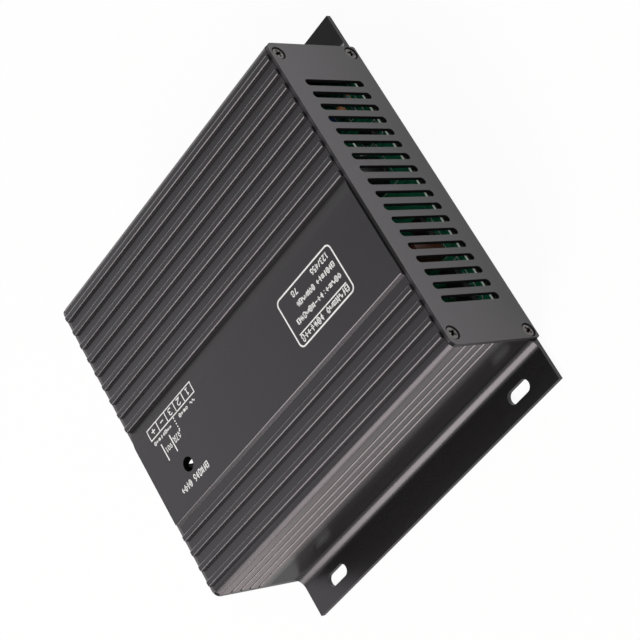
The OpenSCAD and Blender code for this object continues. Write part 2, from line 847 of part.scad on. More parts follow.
module transformer_bobbin() {
  foot_depth = bobbin_half_y - bobbin_foot_y;
  color([0.25, 0.22, 0.2]) translate([transformer_x, transformer_y, 0]) difference() {
    union() {
      bobbin_flange(bobbin_bottom);
      bobbin_flange(bobbin_top - bobbin_wall);
      translate([-tube_half_x, -tube_half_y, bobbin_bottom])
        cube([2 * tube_half_x, 2 * tube_half_y, bobbin_top - bobbin_bottom]);
      for (side = [-1, 1])
        translate([-bobbin_half_x, side * (bobbin_foot_y + foot_depth / 2) - foot_depth / 2, board_top])
          cube([2 * bobbin_half_x, foot_depth, bobbin_bottom - board_top + bobbin_wall / 2]);
    }
    translate([bobbin_wall - tube_half_x, bobbin_wall - tube_half_y, bobbin_bottom - cut_margin])
      cube([2 * (tube_half_x - bobbin_wall), 2 * (tube_half_y - bobbin_wall),
        bobbin_top - bobbin_bottom + 2 * cut_margin]);
  }
}

module winding_outline() {
  straight_x = winding_half_x - winding_corner;
  straight_y = winding_half_y - winding_corner;
  square([2 * winding_half_x, 2 * straight_y], center = true);
  square([2 * straight_x, 2 * winding_half_y], center = true);
  for (sx = [-1, 1], sy = [-1, 1])
    translate([sx * straight_x, sy * straight_y]) circle(r = winding_corner, $fn = 48);
}

module transformer_winding() {
  winding_bottom = bobbin_bottom + bobbin_wall;
  winding_height = bobbin_top - bobbin_bottom - 2 * bobbin_wall;
  color([0.85, 0.68, 0.15])
    translate([transformer_x, transformer_y, winding_bottom]) linear_extrude(height = winding_height)
      difference() {
        winding_outline();
        square([2 * tube_half_x, 2 * tube_half_y], center = true);
      }
}

module ring_core(ring_r, section_r) {
  rotate_extrude($fn = 64) translate([ring_r, 0]) circle(r = section_r, $fn = 32);
}

// One turn of wire round the section of a ring core that lies flat.
module wire_turn(ring_r, loop_r, wire_d) {
  translate([ring_r, 0, 0]) rotate([90, 0, 0])
    rotate_extrude($fn = 32) translate([loop_r, 0]) circle(d = wire_d, $fn = 16);
}

module output_coil_core() {
  color([0.75, 0.72, 0.25]) translate([output_coil_x, output_coil_y, output_coil_z])
    ring_core(output_ring_radius, output_core_radius);
}

module output_coil_winding() {
  color(copper) translate([output_coil_x, output_coil_y, output_coil_z])
    for (i = [0 : output_turns - 1])
      rotate([0, 0, i * 360 / output_turns])
        wire_turn(output_ring_radius, output_loop_r, output_wire_d);
}

module filter_coil_base() {
  color([0.15, 0.15, 0.15]) near_terminals(filter_coil_place, -1)
    cylinder(r = filter_base_r, h = filter_base_thickness);
}

module filter_coil_core() {
  color([0.25, 0.4, 0.3]) near_terminals(filter_coil_place, -1) translate([0, 0, filter_coil_lift])
    ring_core(filter_ring_radius, filter_core_radius);
}

module filter_coil_windings() {
  color(copper) near_terminals(filter_coil_place, -1) translate([0, 0, filter_coil_lift])
    for (half = [0, 180], i = [0 : filter_turns - 1])
      rotate([0, 0, half + (i - (filter_turns - 1) / 2) * filter_turn_angle])
        wire_turn(filter_ring_radius, filter_loop_r, filter_wire_d);
}

// Aluminium can with a rolled groove above its rubber seal and a cross-shaped relief in its top.
module capacitor_can(can_d, can_height) {
  groove_r = 0.7;
  groove_z = 2.2;
  edge_r = 0.8;
  relief_width = 0.5;
  relief_depth = 0.3;
  difference() {
    union() {
      cylinder(d = can_d, h = can_height - edge_r);
      cylinder(d = can_d - 2 * edge_r, h = can_height);
      translate([0, 0, can_height - edge_r])
        rotate_extrude($fn = 64) translate([can_d / 2 - edge_r, 0]) circle(r = edge_r, $fn = 24);
    }
    translate([0, 0, groove_z])
      rotate_extrude($fn = 64) translate([can_d / 2 + groove_r / 3, 0]) circle(r = groove_r, $fn = 24);
    for (turn = [0, 90])
      rotate([0, 0, turn])
        translate([-can_d * 0.32, -relief_width / 2, can_height - relief_depth])
          cube([can_d * 0.64, relief_width, relief_depth + cut_margin]);
  }
}

module smoothing_capacitor() {
  color([0.1, 0.1, 0.12]) near_terminals(smoothing_place, -1)
    capacitor_can(smoothing_can_d, smoothing_can_height);
}

module output_capacitors() {
  color([0.12, 0.14, 0.2])
    for (i = [0, 1])
      near_terminals(output_can_place, 1) translate([i * output_can_spacing, 0, 0])
        capacitor_can(output_can_d, output_can_height);
}

module supply_capacitor() {
  color([0.06, 0.06, 0.07]) near_vents(supply_place, -1)
    capacitor_can(supply_can_d, supply_can_height);
}

// Block with a shallow bevel along its upper edges, standing on the board.
module moulded_block(size, bevel) {
  translate([0, 0, size[2] / 2 - bevel / 2]) cube([size[0], size[1], size[2] - bevel], center = true);
  translate([0, 0, size[2] / 2]) cube([size[0] - 2 * bevel, size[1] - 2 * bevel, size[2]], center = true);
}

module line_capacitor() {
  color([0.75, 0.7, 0.2]) near_terminals(line_capacitor_place, -1)
    moulded_block(line_capacitor_size, 0.6);
}

module film_capacitor() {
  color([0.25, 0.12, 0.07]) near_vents(film_capacitor_place, 1)
    moulded_block(film_capacitor_size, 0.6);
}

// Coated disc that stands on edge across X, with two straight leads down to the board.
module disc_part(disc_d, thickness, lead_spacing, lead_d) {
  centre_z = disc_lift + disc_d / 2;
  edge_r = thickness / 2;
  translate([0, 0, centre_z]) rotate([0, 90, 0]) {
    cylinder(d = disc_d - 2 * edge_r, h = thickness, center = true);
    rotate_extrude($fn = 48) translate([disc_d / 2 - edge_r, 0]) circle(r = edge_r, $fn = 24);
  }
  for (side = [-1, 1])
    translate([0, side * lead_spacing / 2, 0]) cylinder(d = lead_d, h = centre_z, $fn = 24);
}

module ceramic_capacitor() {
  color([0.85, 0.4, 0.12]) near_vents(ceramic_place, -1)
    disc_part(ceramic_d, ceramic_thickness, ceramic_d / 2, resistor_lead_d);
}

module inrush_thermistor() {
  color([0.12, 0.2, 0.16]) near_terminals(thermistor_place, -1)
    disc_part(thermistor_d, disc_thickness, disc_lead_spacing, disc_lead_d);
}

module surge_varistor() {
  color([0.1, 0.25, 0.6]) translate([varistor_x, varistor_y, board_top])
    disc_part(varistor_d, disc_thickness, disc_lead_spacing, disc_lead_d);
}

// Power device whose tab lies against a pad on the -Y rail. The origin is on the board under the pad.
module tab_device() {
  body_y = 0;
  lead_y = device_thickness / 2;
  difference() {
    union() {
      translate([-device_width / 2, body_y, device_bottom - board_top])
        cube([device_width, device_thickness, device_body_height]);
      translate([-device_width / 2, body_y, device_bottom - board_top])
        cube([device_width, device_tab_thickness, device_height]);
      for (i = [-1, 0, 1])
        translate([i * device_lead_spacing - device_lead_size[0] / 2, lead_y, 0])
          cube([device_lead_size[0], device_lead_size[1], device_bottom - board_top + 1]);
    }
    translate([0, -cut_margin, device_hole_z - board_top]) rotate([-90, 0, 0])
      cylinder(r = device_hole_r, h = device_thickness + 2 * cut_margin);
  }
}

module on_wide_side_rail(x) {
  translate([x, pad_thickness - rail_face_y, board_top]) children();
}

module on_narrow_side_rail(x) {
  mirror([0, 1, 0]) on_wide_side_rail(x) children();
}

module switch_transistor() {
  color([0.1, 0.1, 0.1]) on_wide_side_rail(switch_x) tab_device();
}

module output_rectifier() {
  color([0.1, 0.1, 0.1]) on_narrow_side_rail(output_rectifier_x) tab_device();
}

module bridge_rectifier() {
  bridge_lead_count = 4;
  color([0.12, 0.12, 0.13]) on_wide_side_rail(bridge_x) difference() {
    union() {
      translate([-bridge_width / 2, 0, device_bottom - board_top])
        cube([bridge_width, bridge_thickness, bridge_height]);
      for (i = [0 : bridge_lead_count - 1])
        translate([(i - (bridge_lead_count - 1) / 2) * bridge_lead_spacing, bridge_thickness / 2, 0])
          cylinder(d = 1, h = device_bottom - board_top + 1, $fn = 24);
    }
    translate([0, -cut_margin, bridge_hole_z - board_top]) rotate([-90, 0, 0])
      cylinder(r = device_hole_r, h = bridge_thickness + 2 * cut_margin);
  }
}

module device_pad(width, height, hole_z) {
  translate([0, -pad_thickness, 0]) difference() {
    translate([-width / 2 - pad_margin, 0, device_bottom - board_top - pad_margin / 2])
      cube([width + 2 * pad_margin, pad_thickness, height + pad_margin]);
    translate([0, -cut_margin, hole_z - board_top]) rotate([-90, 0, 0])
      cylinder(r = device_hole_r, h = pad_thickness + 2 * cut_margin);
  }
}

module device_pads() {
  color([0.8, 0.8, 0.82]) {
    on_wide_side_rail(switch_x) device_pad(device_width, device_height, device_hole_z);
    on_wide_side_rail(bridge_x) device_pad(bridge_width, bridge_height, bridge_hole_z);
    on_narrow_side_rail(output_rectifier_x) device_pad(device_width, device_height, device_hole_z);
  }
}

// Pan head screw that clamps a device of the given thickness to a rail.
module device_screw(clamped, hole_z) {
  translate([0, clamped, hole_z - board_top]) rotate([90, 0, 0]) difference() {
    union() {
      cylinder(d = screw_d, h = clamped + pad_thickness + device_screw_depth);
      translate([0, 0, -pan_head_height]) cylinder(d = pan_head_d, h = pan_head_height);
    }
    for (turn = [0, 90])
      rotate([0, 0, turn])
        translate([-pan_head_d / 4, -0.4, -pan_head_height - cut_margin])
          cube([pan_head_d / 2, 0.8, 1 + cut_margin]);
  }
}

module device_screws() {
  color(zinc) {
    on_wide_side_rail(switch_x) device_screw(device_tab_thickness, device_hole_z);
    on_wide_side_rail(bridge_x) device_screw(bridge_thickness, bridge_hole_z);
    on_narrow_side_rail(output_rectifier_x) device_screw(device_tab_thickness, device_hole_z);
  }
}

module along_fuse(start, length, outer_d) {
  translate([fuse_x, fuse_y + start, fuse_z]) rotate([-90, 0, 0]) cylinder(d = outer_d, h = length);
}

module fuse_glass() {
  glass_d = fuse_d - 2 * fuse_wall;
  color([0.85, 0.9, 0.9, 0.35]) difference() {
    along_fuse(-fuse_length / 2 + fuse_wall, fuse_length - 2 * fuse_wall, glass_d);
    along_fuse(-fuse_length / 2, fuse_length, glass_d - 2 * fuse_wall);
  }
}

module fuse_cap(side) {
  difference() {
    along_fuse(side * (fuse_length - fuse_cap_length) / 2 - fuse_cap_length / 2, fuse_cap_length,
      fuse_cap_d);
    along_fuse(side * (fuse_length / 2 - fuse_wall - fuse_cap_length / 2) - fuse_cap_length / 2,
      fuse_cap_length, fuse_d - 2 * fuse_wall);
  }
}

module fuse_caps() {
  color(zinc) for (side = [-1, 1]) fuse_cap(side);
}

// Spring clip: a ring that is open at the top, on a foot that rests on the board.
module fuse_clip(side) {
  clip_start = side * clip_centre - clip_width / 2;
  clip_outer_d = fuse_cap_d + 2 * clip_metal;
  opening_z = fuse_z + fuse_cap_d * 0.3;
  difference() {
    union() {
      along_fuse(clip_start, clip_width, clip_outer_d);
      translate([fuse_x - fuse_cap_d / 4, fuse_y + clip_start, board_top])
        cube([fuse_cap_d / 2, clip_width, fuse_z - board_top]);
    }
    along_fuse(clip_start - cut_margin, clip_width + 2 * cut_margin, fuse_cap_d);
    translate([fuse_x - clip_outer_d, fuse_y + clip_start - cut_margin, opening_z])
      cube([2 * clip_outer_d, clip_width + 2 * cut_margin, clip_outer_d]);
  }
}

module fuse_clips() {
  color(zinc) for (side = [-1, 1]) fuse_clip(side);
}

// Moulded chip along Y with two rows of bent pins that stand on the board.
module dual_row_chip(pins_per_row) {
  body_length = pins_per_row * pin_pitch;
  shoulder_z = chip_lift + chip_body_height / 2;
  pin_reach = (chip_row_spacing - chip_body_width) / 2 + pin_metal;
  notch_r = 0.9;
  difference() {
    translate([-chip_body_width / 2, -body_length / 2, chip_lift])
      cube([chip_body_width, body_length, chip_body_height]);
    translate([0, body_length / 2, chip_lift + chip_body_height - 0.5])
      cylinder(r = notch_r, h = cut_margin, $fn = 32);
  }
  for (side = [-1, 1], i = [0 : pins_per_row - 1])
    translate([0, (i - (pins_per_row - 1) / 2) * pin_pitch - pin_width / 2, 0]) {
      translate([side * (chip_body_width + pin_reach) / 2 - pin_reach / 2 - side * 0.1,
        0, shoulder_z - pin_metal])
        cube([pin_reach, pin_width, pin_metal]);
      translate([side * chip_row_spacing / 2 - pin_metal / 2, 0, 0])
        cube([pin_metal, pin_width, shoulder_z]);
    }
}

module timer_chip() {
  color([0.09, 0.09, 0.1]) near_vents(timer_chip_place, 1) dual_row_chip(4);
}

module control_chip() {
  color([0.09, 0.09, 0.1]) near_vents(control_chip_place, 1) dual_row_chip(7);
}

module optocoupler() {
  color([0.09, 0.09, 0.1]) near_vents(optocoupler_place, -1) dual_row_chip(2);
}

// Resistor along Y: a body with thicker ends, and leads bent down to the board.
module axial_resistor(span) {
  bend_r = 1;
  axis_z = resistor_d / 2 + resistor_lift;
  end_length = 1.6;
  waist_d = resistor_d - 0.4;
  translate([0, 0, axis_z]) rotate([90, 0, 0]) {
    cylinder(d = waist_d, h = resistor_length, center = true, $fn = 32);
    for (side = [-1, 1])
      translate([0, 0, side * (resistor_length - end_length) / 2])
        cylinder(d = resistor_d, h = end_length, center = true, $fn = 32);
    cylinder(d = resistor_lead_d, h = span - 2 * bend_r, center = true, $fn = 24);
  }
  for (side = [-1, 1]) {
    translate([0, side * (span / 2 - bend_r), axis_z - bend_r]) rotate([0, 90, 0])
      rotate([0, 0, side > 0 ? 90 : 180])
        rotate_extrude(angle = 90, $fn = 32) translate([bend_r, 0]) circle(d = resistor_lead_d, $fn = 24);
    translate([0, side * span / 2, 0]) cylinder(d = resistor_lead_d, h = axis_z - bend_r, $fn = 24);
  }
}

module sense_resistor() {
  color([0.15, 0.55, 0.6]) near_vents(sense_resistor_place, -1)
    axial_resistor(sense_resistor_span);
}

module small_resistors() {
  color([0.35, 0.6, 0.75])
    for (i = [0 : small_resistor_count - 1])
      near_vents(small_resistor_place, 1) translate([i * small_resistor_pitch, 0, 0])
        axial_resistor(small_resistor_span);
}

module trimmer_body() {
  color([0.1, 0.25, 0.6]) near_vents(trimmer_place, -1)
    moulded_block(trimmer_size, 0.4);
}

module trimmer_rotor() {
  color([0.9, 0.88, 0.8]) near_vents(trimmer_place, -1) translate([0, 0, trimmer_size[2]]) difference() {
    cylinder(d = trimmer_rotor_d, h = trimmer_rotor_height, $fn = 48);
    translate([-trimmer_rotor_d / 2 - cut_margin, -trimmer_slot_width / 2, trimmer_rotor_height / 2])
      cube([trimmer_rotor_d + 2 * cut_margin, trimmer_slot_width, trimmer_rotor_height]);
  }
}

housing();
base_plate();
insulating_sheet();
vent_end_plate();
terminal_end_plate();
vent_plate_screws();
terminal_plate_screws();
circuit_board();
terminal_body();
terminal_clamps();
terminal_screws();
charge_lamp();
lamp_spacer();
transformer_core_lower();
transformer_core_upper();
transformer_bobbin();
transformer_winding();
output_coil_core();
output_coil_winding();
filter_coil_base();
filter_coil_core();
filter_coil_windings();
smoothing_capacitor();
output_capacitors();
supply_capacitor();
line_capacitor();
film_capacitor();
ceramic_capacitor();
bridge_rectifier();
switch_transistor();
output_rectifier();
device_pads();
device_screws();
fuse_glass();
fuse_caps();
fuse_clips();
inrush_thermistor();
surge_varistor();
optocoupler();
timer_chip();
control_chip();
sense_resistor();
small_resistors();
trimmer_body();
trimmer_rotor();
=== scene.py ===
import math
from functools import reduce

import bpy
import numpy as np
from mathutils import Matrix, Vector


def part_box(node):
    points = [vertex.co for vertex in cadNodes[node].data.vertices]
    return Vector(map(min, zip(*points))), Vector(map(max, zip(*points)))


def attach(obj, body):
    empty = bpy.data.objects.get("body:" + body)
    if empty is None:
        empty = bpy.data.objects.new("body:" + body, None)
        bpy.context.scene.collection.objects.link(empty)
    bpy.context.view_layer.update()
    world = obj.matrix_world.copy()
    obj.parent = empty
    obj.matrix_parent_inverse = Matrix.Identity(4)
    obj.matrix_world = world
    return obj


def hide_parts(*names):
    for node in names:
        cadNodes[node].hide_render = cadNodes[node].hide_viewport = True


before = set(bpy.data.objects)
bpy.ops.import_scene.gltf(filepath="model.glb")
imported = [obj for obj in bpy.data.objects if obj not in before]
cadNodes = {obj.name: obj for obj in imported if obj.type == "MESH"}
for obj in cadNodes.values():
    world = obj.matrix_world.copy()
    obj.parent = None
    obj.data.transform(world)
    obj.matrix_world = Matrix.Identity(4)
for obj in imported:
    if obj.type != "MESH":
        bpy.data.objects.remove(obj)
bpy.context.scene.view_settings.view_transform = "Standard"
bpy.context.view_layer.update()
print("frame loaded:", len(cadNodes), "nodes")

mm = 0.001

# shader helpers


def operation(kind):
    # a method that puts a value, and any others, through one Math node
    return lambda value, *others: value.math(kind, *others)


class Value:
    # a number that changes over a surface, in ordinary arithmetic
    def __init__(self, finish, socket):
        self.finish = finish
        self.socket = socket

    def math(self, kind, *others, clamp=False):
        made = self.finish.node("Math", {"operation": kind, "use_clamp": clamp},
                                dict(enumerate([self, *others])))
        return Value(self.finish, made.outputs[0])

    def __rsub__(self, other):
        made = self.finish.node("Math", {"operation": "SUBTRACT"}, {0: other, 1: self})
        return Value(self.finish, made.outputs[0])

    __add__ = __radd__ = operation("ADD")
    __sub__ = operation("SUBTRACT")
    __mul__ = __rmul__ = operation("MULTIPLY")
    __truediv__ = operation("DIVIDE")
    __pow__ = operation("POWER")
    __gt__ = operation("GREATER_THAN")
    __lt__ = operation("LESS_THAN")
    __abs__ = operation("ABSOLUTE")
    least = operation("MINIMUM")
    most = operation("MAXIMUM")

    def limited(self):
        return self.math("ADD", 0.0, clamp=True)

    def wrapped(self, step):
        # distance from the nearest multiple of step
        return self.math("PINGPONG", step / 2)

    def smooth(self, low, high):
        # 0 below low, 1 above high, a soft step between them
        made = self.finish.node("MapRange", {"interpolation_type": "SMOOTHSTEP"},
                                {"Value": self, "From Min": low, "From Max": high})
        return Value(self.finish, made.outputs["Result"])


class Finish:
    # one material, or the world: every node of it comes from node(kind, settings, inputs)
    def __init__(self, name, world=None):
        self.material = world or bpy.data.materials.new(name)
        self.material.use_nodes = True
        self.nodes = self.material.node_tree.nodes
        self.links = self.material.node_tree.links
        self.nodes.clear()
        self.out = self.nodes.new("ShaderNodeOutputWorld" if world else "ShaderNodeOutputMaterial")

    def node(self, kind, settings=None, inputs=None):
        made = self.nodes.new("ShaderNode" + kind)
        for name, value in (settings or {}).items():
            setattr(made, name, value)
        for key, value in (inputs or {}).items():
            socket = made.inputs[key]
            if isinstance(value, Value):
                self.links.new(value.socket, socket)
            elif isinstance(value, bpy.types.NodeSocket):
                self.links.new(value, socket)
            else:
                socket.default_value = (*value, 1) if socket.type == "RGBA" and len(value) == 3 else value
        return made

    def place(self):
        # object coordinates in metres, which are the frame's own
        return self.node("TexCoord").outputs["Object"]

    def parts(self, output):
        split = self.node("SeparateXYZ", {}, {0: self.node("TexCoord").outputs[output]})
        return [Value(self, split.outputs[i]) for i in range(3)]

    def axes(self):
        return self.parts("Object")

    def facing(self):
        # the surface normal along the same axes
        return self.parts("Normal")

    def rays(self):
        # whether a ray comes from the camera, from a reflection or through glass
        path = self.node("LightPath")
        return [Value(self, path.outputs[name])
                for name in ("Is Camera Ray", "Is Glossy Ray", "Is Transmission Ray")]

    def stretched(self, scale):
        return self.node("Mapping", {}, {"Vector": self.place(), "Scale": scale}).outputs[0]

    def noise(self, scale, detail, vector=None):
        made = self.node("TexNoise", {}, {"Vector": vector or self.place(), "Scale": scale, "Detail": detail})
        return Value(self, made.outputs["Fac"])

    def mix(self, factor, first, second):
        # two colours; sockets 6 and 7 and output 2 are the node's own for colour
        made = self.node("Mix", {"data_type": "RGBA"}, {0: factor, 6: first, 7: second})
        return made.outputs[2]

    def bump(self, height, distance, strength=1.0, below=None):
        inputs = {"Height": height, "Distance": distance, "Strength": strength}
        if below is not None:
            inputs["Normal"] = below
        return self.node("Bump", {}, inputs).outputs[0]

    def coat(self, **sockets):
        named = {name.replace("_", " "): value for name, value in sockets.items()}
        return self.node("BsdfPrincipled", {}, named).outputs[0]

    def matt(self, color):
        return self.node("BsdfDiffuse", {}, {"Color": color}).outputs[0]

    def blend(self, share, first, second):
        # the first shader, passing into the second where the share is 1
        return self.node("MixShader", {}, {0: share, 1: first, 2: second}).outputs[0]

    def shown(self, shader):
        self.links.new(shader, self.out.inputs[0])
        return self.material

    def surface(self, **sockets):
        return self.shown(self.coat(**sockets))


def swung(base, *swings):
    # the base plus noises that swing about one half, each times its own amount
    for noise, amount in swings:
        base = (noise - 0.5) * amount + base
    return base


def clouding(cloud, look, *swings):
    # how far a second colour shows: none of it where the clouds are thin, and more as they thicken
    return swung((cloud - look["cloudStart"]) * look["cloudGain"], *swings).limited()


def uneven(look, cloud, more=0.0):
    # the roughness of a look, with more of it where asked, and a little changed by the clouds
    return swung(look["roughness"] + more, (cloud, look["cloudRough"]))


tinned = (0.68, 0.67, 0.64)  # bare leads


def wear(nodeName, material):
    # puts a material on a CAD node
    obj = cadNodes[nodeName]
    obj.data.materials.clear()
    obj.data.materials.append(material)


def lows(nodeName):
    return [float(v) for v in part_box(nodeName)[0]]


def highs(nodeName):
    return [float(v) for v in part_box(nodeName)[1]]


def middle(nodeName):
    return [(low + high) / 2 for low, high in zip(lows(nodeName), highs(nodeName))]


# camera, floor and light

cameraSettings = {
    "lens": 123.64, "sensor": 36.0, "nearest": 0.05, "farthest": 50.0,
    # the view's right, down and ahead in the frame's axes, and where the frame's origin lies along them
    "right": (-0.5370, 0.4680, -0.7019),
    "down": (0.6146, 0.7870, 0.0545),
    "ahead": (0.5778, -0.4021, -0.7102),
    "offset": (2.926 * mm, -0.338 * mm, 856.767 * mm),
}


def makeCamera(settings):
    turn = Matrix([settings["right"], settings["down"], settings["ahead"]])
    place = -(turn.transposed() @ Vector(settings["offset"]))
    data = bpy.data.cameras.new("photoCamera")
    data.lens = settings["lens"]
    data.sensor_width = settings["sensor"]
    data.clip_start, data.clip_end = settings["nearest"], settings["farthest"]
    camera = bpy.data.objects.new("photoCamera", data)
    bpy.context.scene.collection.objects.link(camera)
    basis = Matrix([turn[0], -turn[1], -turn[2]]).transposed()
    camera.matrix_world = Matrix.Translation(place) @ basis.to_4x4()
    bpy.context.scene.camera = camera


makeCamera(cameraSettings)

lightSettings = {
    "ambient": 0.60,  # what the world gives to matt surfaces
    "mirrored": 0.80,  # the same for reflections; the camera sees plain white
    "floorColor": (0.86, 0.86, 0.86),
    "floorRings": (20.0, 8.0, 3.0, 1.2, 0.4, 0.0),  # radii from the rim to the middle
    "floorSides": 48,
    "floorGap": 0.05 * mm,  # keeps the floor off the undersides that stand on it
    "floorGlow": 0.94,  # share of plain white that the camera and reflections see on the floor
    "aimHeight": 0.03,  # the softboxes face a point this far above the origin
    "softboxes": [  # name, direction from the object, distance, width, height, radiance, colour
        ("keySoftbox", (0.5225, 0.5815, 0.6235), 1.35, 0.52, 0.92, 8.9, (1.0, 0.945, 0.925)),
        ("fillSoftbox", (0.80, -0.25, 0.56), 3.0, 1.9, 1.6, 0.55, (0.98, 0.965, 1.0)),
        ("edgeStrip", (0.578, -0.798, 0.165), 1.9, 1.4, 0.78, 2.1, (1.0, 0.970, 0.970)),
    ],
}


def makeWorld(settings):
    world = bpy.data.worlds.new("studio")
    bpy.context.scene.world = world
    sky = Finish("studio", world)
    camera, glossy, passing = sky.rays()
    strength = camera.most(glossy.most(passing) * settings["mirrored"]).most(settings["ambient"])
    sky.shown(sky.node("Background", {}, {"Color": (1, 1, 1), "Strength": strength}).outputs[0])


def makeFloor(settings):
    # a wide flat disc: the radius shrinks along one parameter, the angle grows along the other
    around = np.linspace(0, 2 * np.pi, settings["floorSides"] + 1)[:-1]
    ring, angle = np.meshgrid(np.array(settings["floorRings"]), around, indexing="ij")
    points = np.stack([ring * np.cos(angle), ring * np.sin(angle), ring * 0 - settings["floorGap"]], -1)
    floor = meshObject("studioFloor", points, gridFaces(*ring.shape, True))
    finish = Finish("paleFloor")
    camera, glossy, passing = finish.rays()
    seen = camera.most(glossy).most(passing) * settings["floorGlow"]
    glow = finish.node("Emission", {}, {"Color": (1, 1, 1), "Strength": 1.0}).outputs[0]
    above = finish.blend(seen, finish.matt(settings["floorColor"]), glow)
    # seen from under it, the floor is clear
    clear = finish.node("BsdfTransparent").outputs[0]
    under = finish.node("NewGeometry").outputs["Backfacing"]
    floor.data.materials.append(finish.shown(finish.blend(under, above, clear)))


def makeSoftboxes(settings):
    for name, direction, distance, width, height, radiance, color in settings["softboxes"]:
        data = bpy.data.lights.new(name, "AREA")
        data.shape = "RECTANGLE"
        data.size, data.size_y = width, height
        data.color = color
        data.energy = radiance * math.pi * width * height
        lamp = bpy.data.objects.new(name, data)
        aim = Vector(direction).normalized()
        lamp.location = aim * distance + Vector((0, 0, settings["aimHeight"]))
        along = (Vector((1, 0, 0)) - aim * aim[0]).normalized()  # the width lies along the case
        lamp.rotation_euler = Matrix([along, aim.cross(along), aim]).transposed().to_euler()
        bpy.context.scene.collection.objects.link(lamp)


# mesh helpers


def meshObject(name, points, faces, smooth=True):
    data = bpy.data.meshes.new(name)
    data.from_pydata(np.asarray(points, float).reshape(-1, 3).tolist(), [], [list(f) for f in faces])
    data.update()
    if smooth:
        data.polygons.foreach_set("use_smooth", np.ones(len(data.polygons), bool))
    obj = bpy.data.objects.new(name, data)
    bpy.context.scene.collection.objects.link(obj)
    return obj


def gridFaces(rows, columns, closedAround, start=0):
    # quads between neighbouring rows and columns of a grid of points; the last column may join the first
    spans = columns if closedAround else columns - 1
    row, column = np.meshgrid(np.arange(rows - 1), np.arange(spans), indexing="ij")
    after = (column + 1) % columns
    quads = np.stack([row * columns + column, row * columns + after,
                      (row + 1) * columns + after, (row + 1) * columns + column], -1)
    return quads.reshape(-1, 4) + start


makeWorld(lightSettings)
makeFloor(lightSettings)
makeSoftboxes(lightSettings)
print("stage set")

# finishes of the case

extrusionLook = {
    "color": (0.0035, 0.0034, 0.0036), "wornColor": (0.0110, 0.0103, 0.0105), "wornShare": 0.35,
    "cloudStart": 0.4, "cloudGain": 1.2, "bandGain": 0.6,
    "sheen": (0.995, 0.942, 1.0),
    "roughness": 0.26, "lineRough": 0.07, "cloudRough": 0.05, "bandRough": 0.05,
    # noise scales per metre; the die's lines and bands run along X
    "lineScale": (3.0, 1800.0, 1800.0), "bandScale": (1.5, 160.0, 160.0), "cloudScale": 22.0,
    "grainScale": 5200.0,
    "lineDepth": 0.0025 * mm, "lineStrength": 0.7, "grainDepth": 0.0007 * mm, "grainStrength": 0.6,
    # painted reflection on the faces of the walls, lighter upwards and towards the terminals; the groove
    # floors are left without it and stay dark as painted shade
    "dustAndPaintedReflection": (0.110, 0.091, 0.094), "reflectionStart": 0.45, "reflectionReach": 185 * mm, "reflectionBend": 143 * mm,
    "reflectionFoot": (18.5 * mm, 26 * mm), "grooveFace": 69.6 * mm,
    # slopes that only a reflection shows, on the walls, on their round upper corners and on the bevel
    "wallCrown": 0.128, "cornerCrown": 0.27, "cornerStart": 0.20,
    "cornerLow": 44.6 * mm, "cornerMiddle": 45.4 * mm, "cornerHigh": 47.2 * mm,
    "bevelCrown": 0.045, "bevelStart": 30.0 * mm, "bevelEnd": 41.6 * mm,
    # painted shade, a dark matt finish in place of the gloss: its share in each region, and the slopes and
    # places that bound the region
    "paintedShade": (0.004, 0.004, 0.004),
    "flangeShare": 0.55, "flangeTop": 2.1 * mm, "level": 0.9,
    "fadeSlant": 1.3, "fadeReach": (157.0 * mm, 178.0 * mm),  # glossy again at the far corners
    "cornerShare": 0.16, "rounded": 0.4,
    "footShare": 0.25, "wallFoot": 19 * mm, "upright": 0.9,
    "rampShare": 0.21, "rampTilt": (0.18, 0.25), "rampLimit": 0.28,
    "flankShare": 0.12, "flankTilt": 0.8, "flankReach": 66.0 * mm,
}


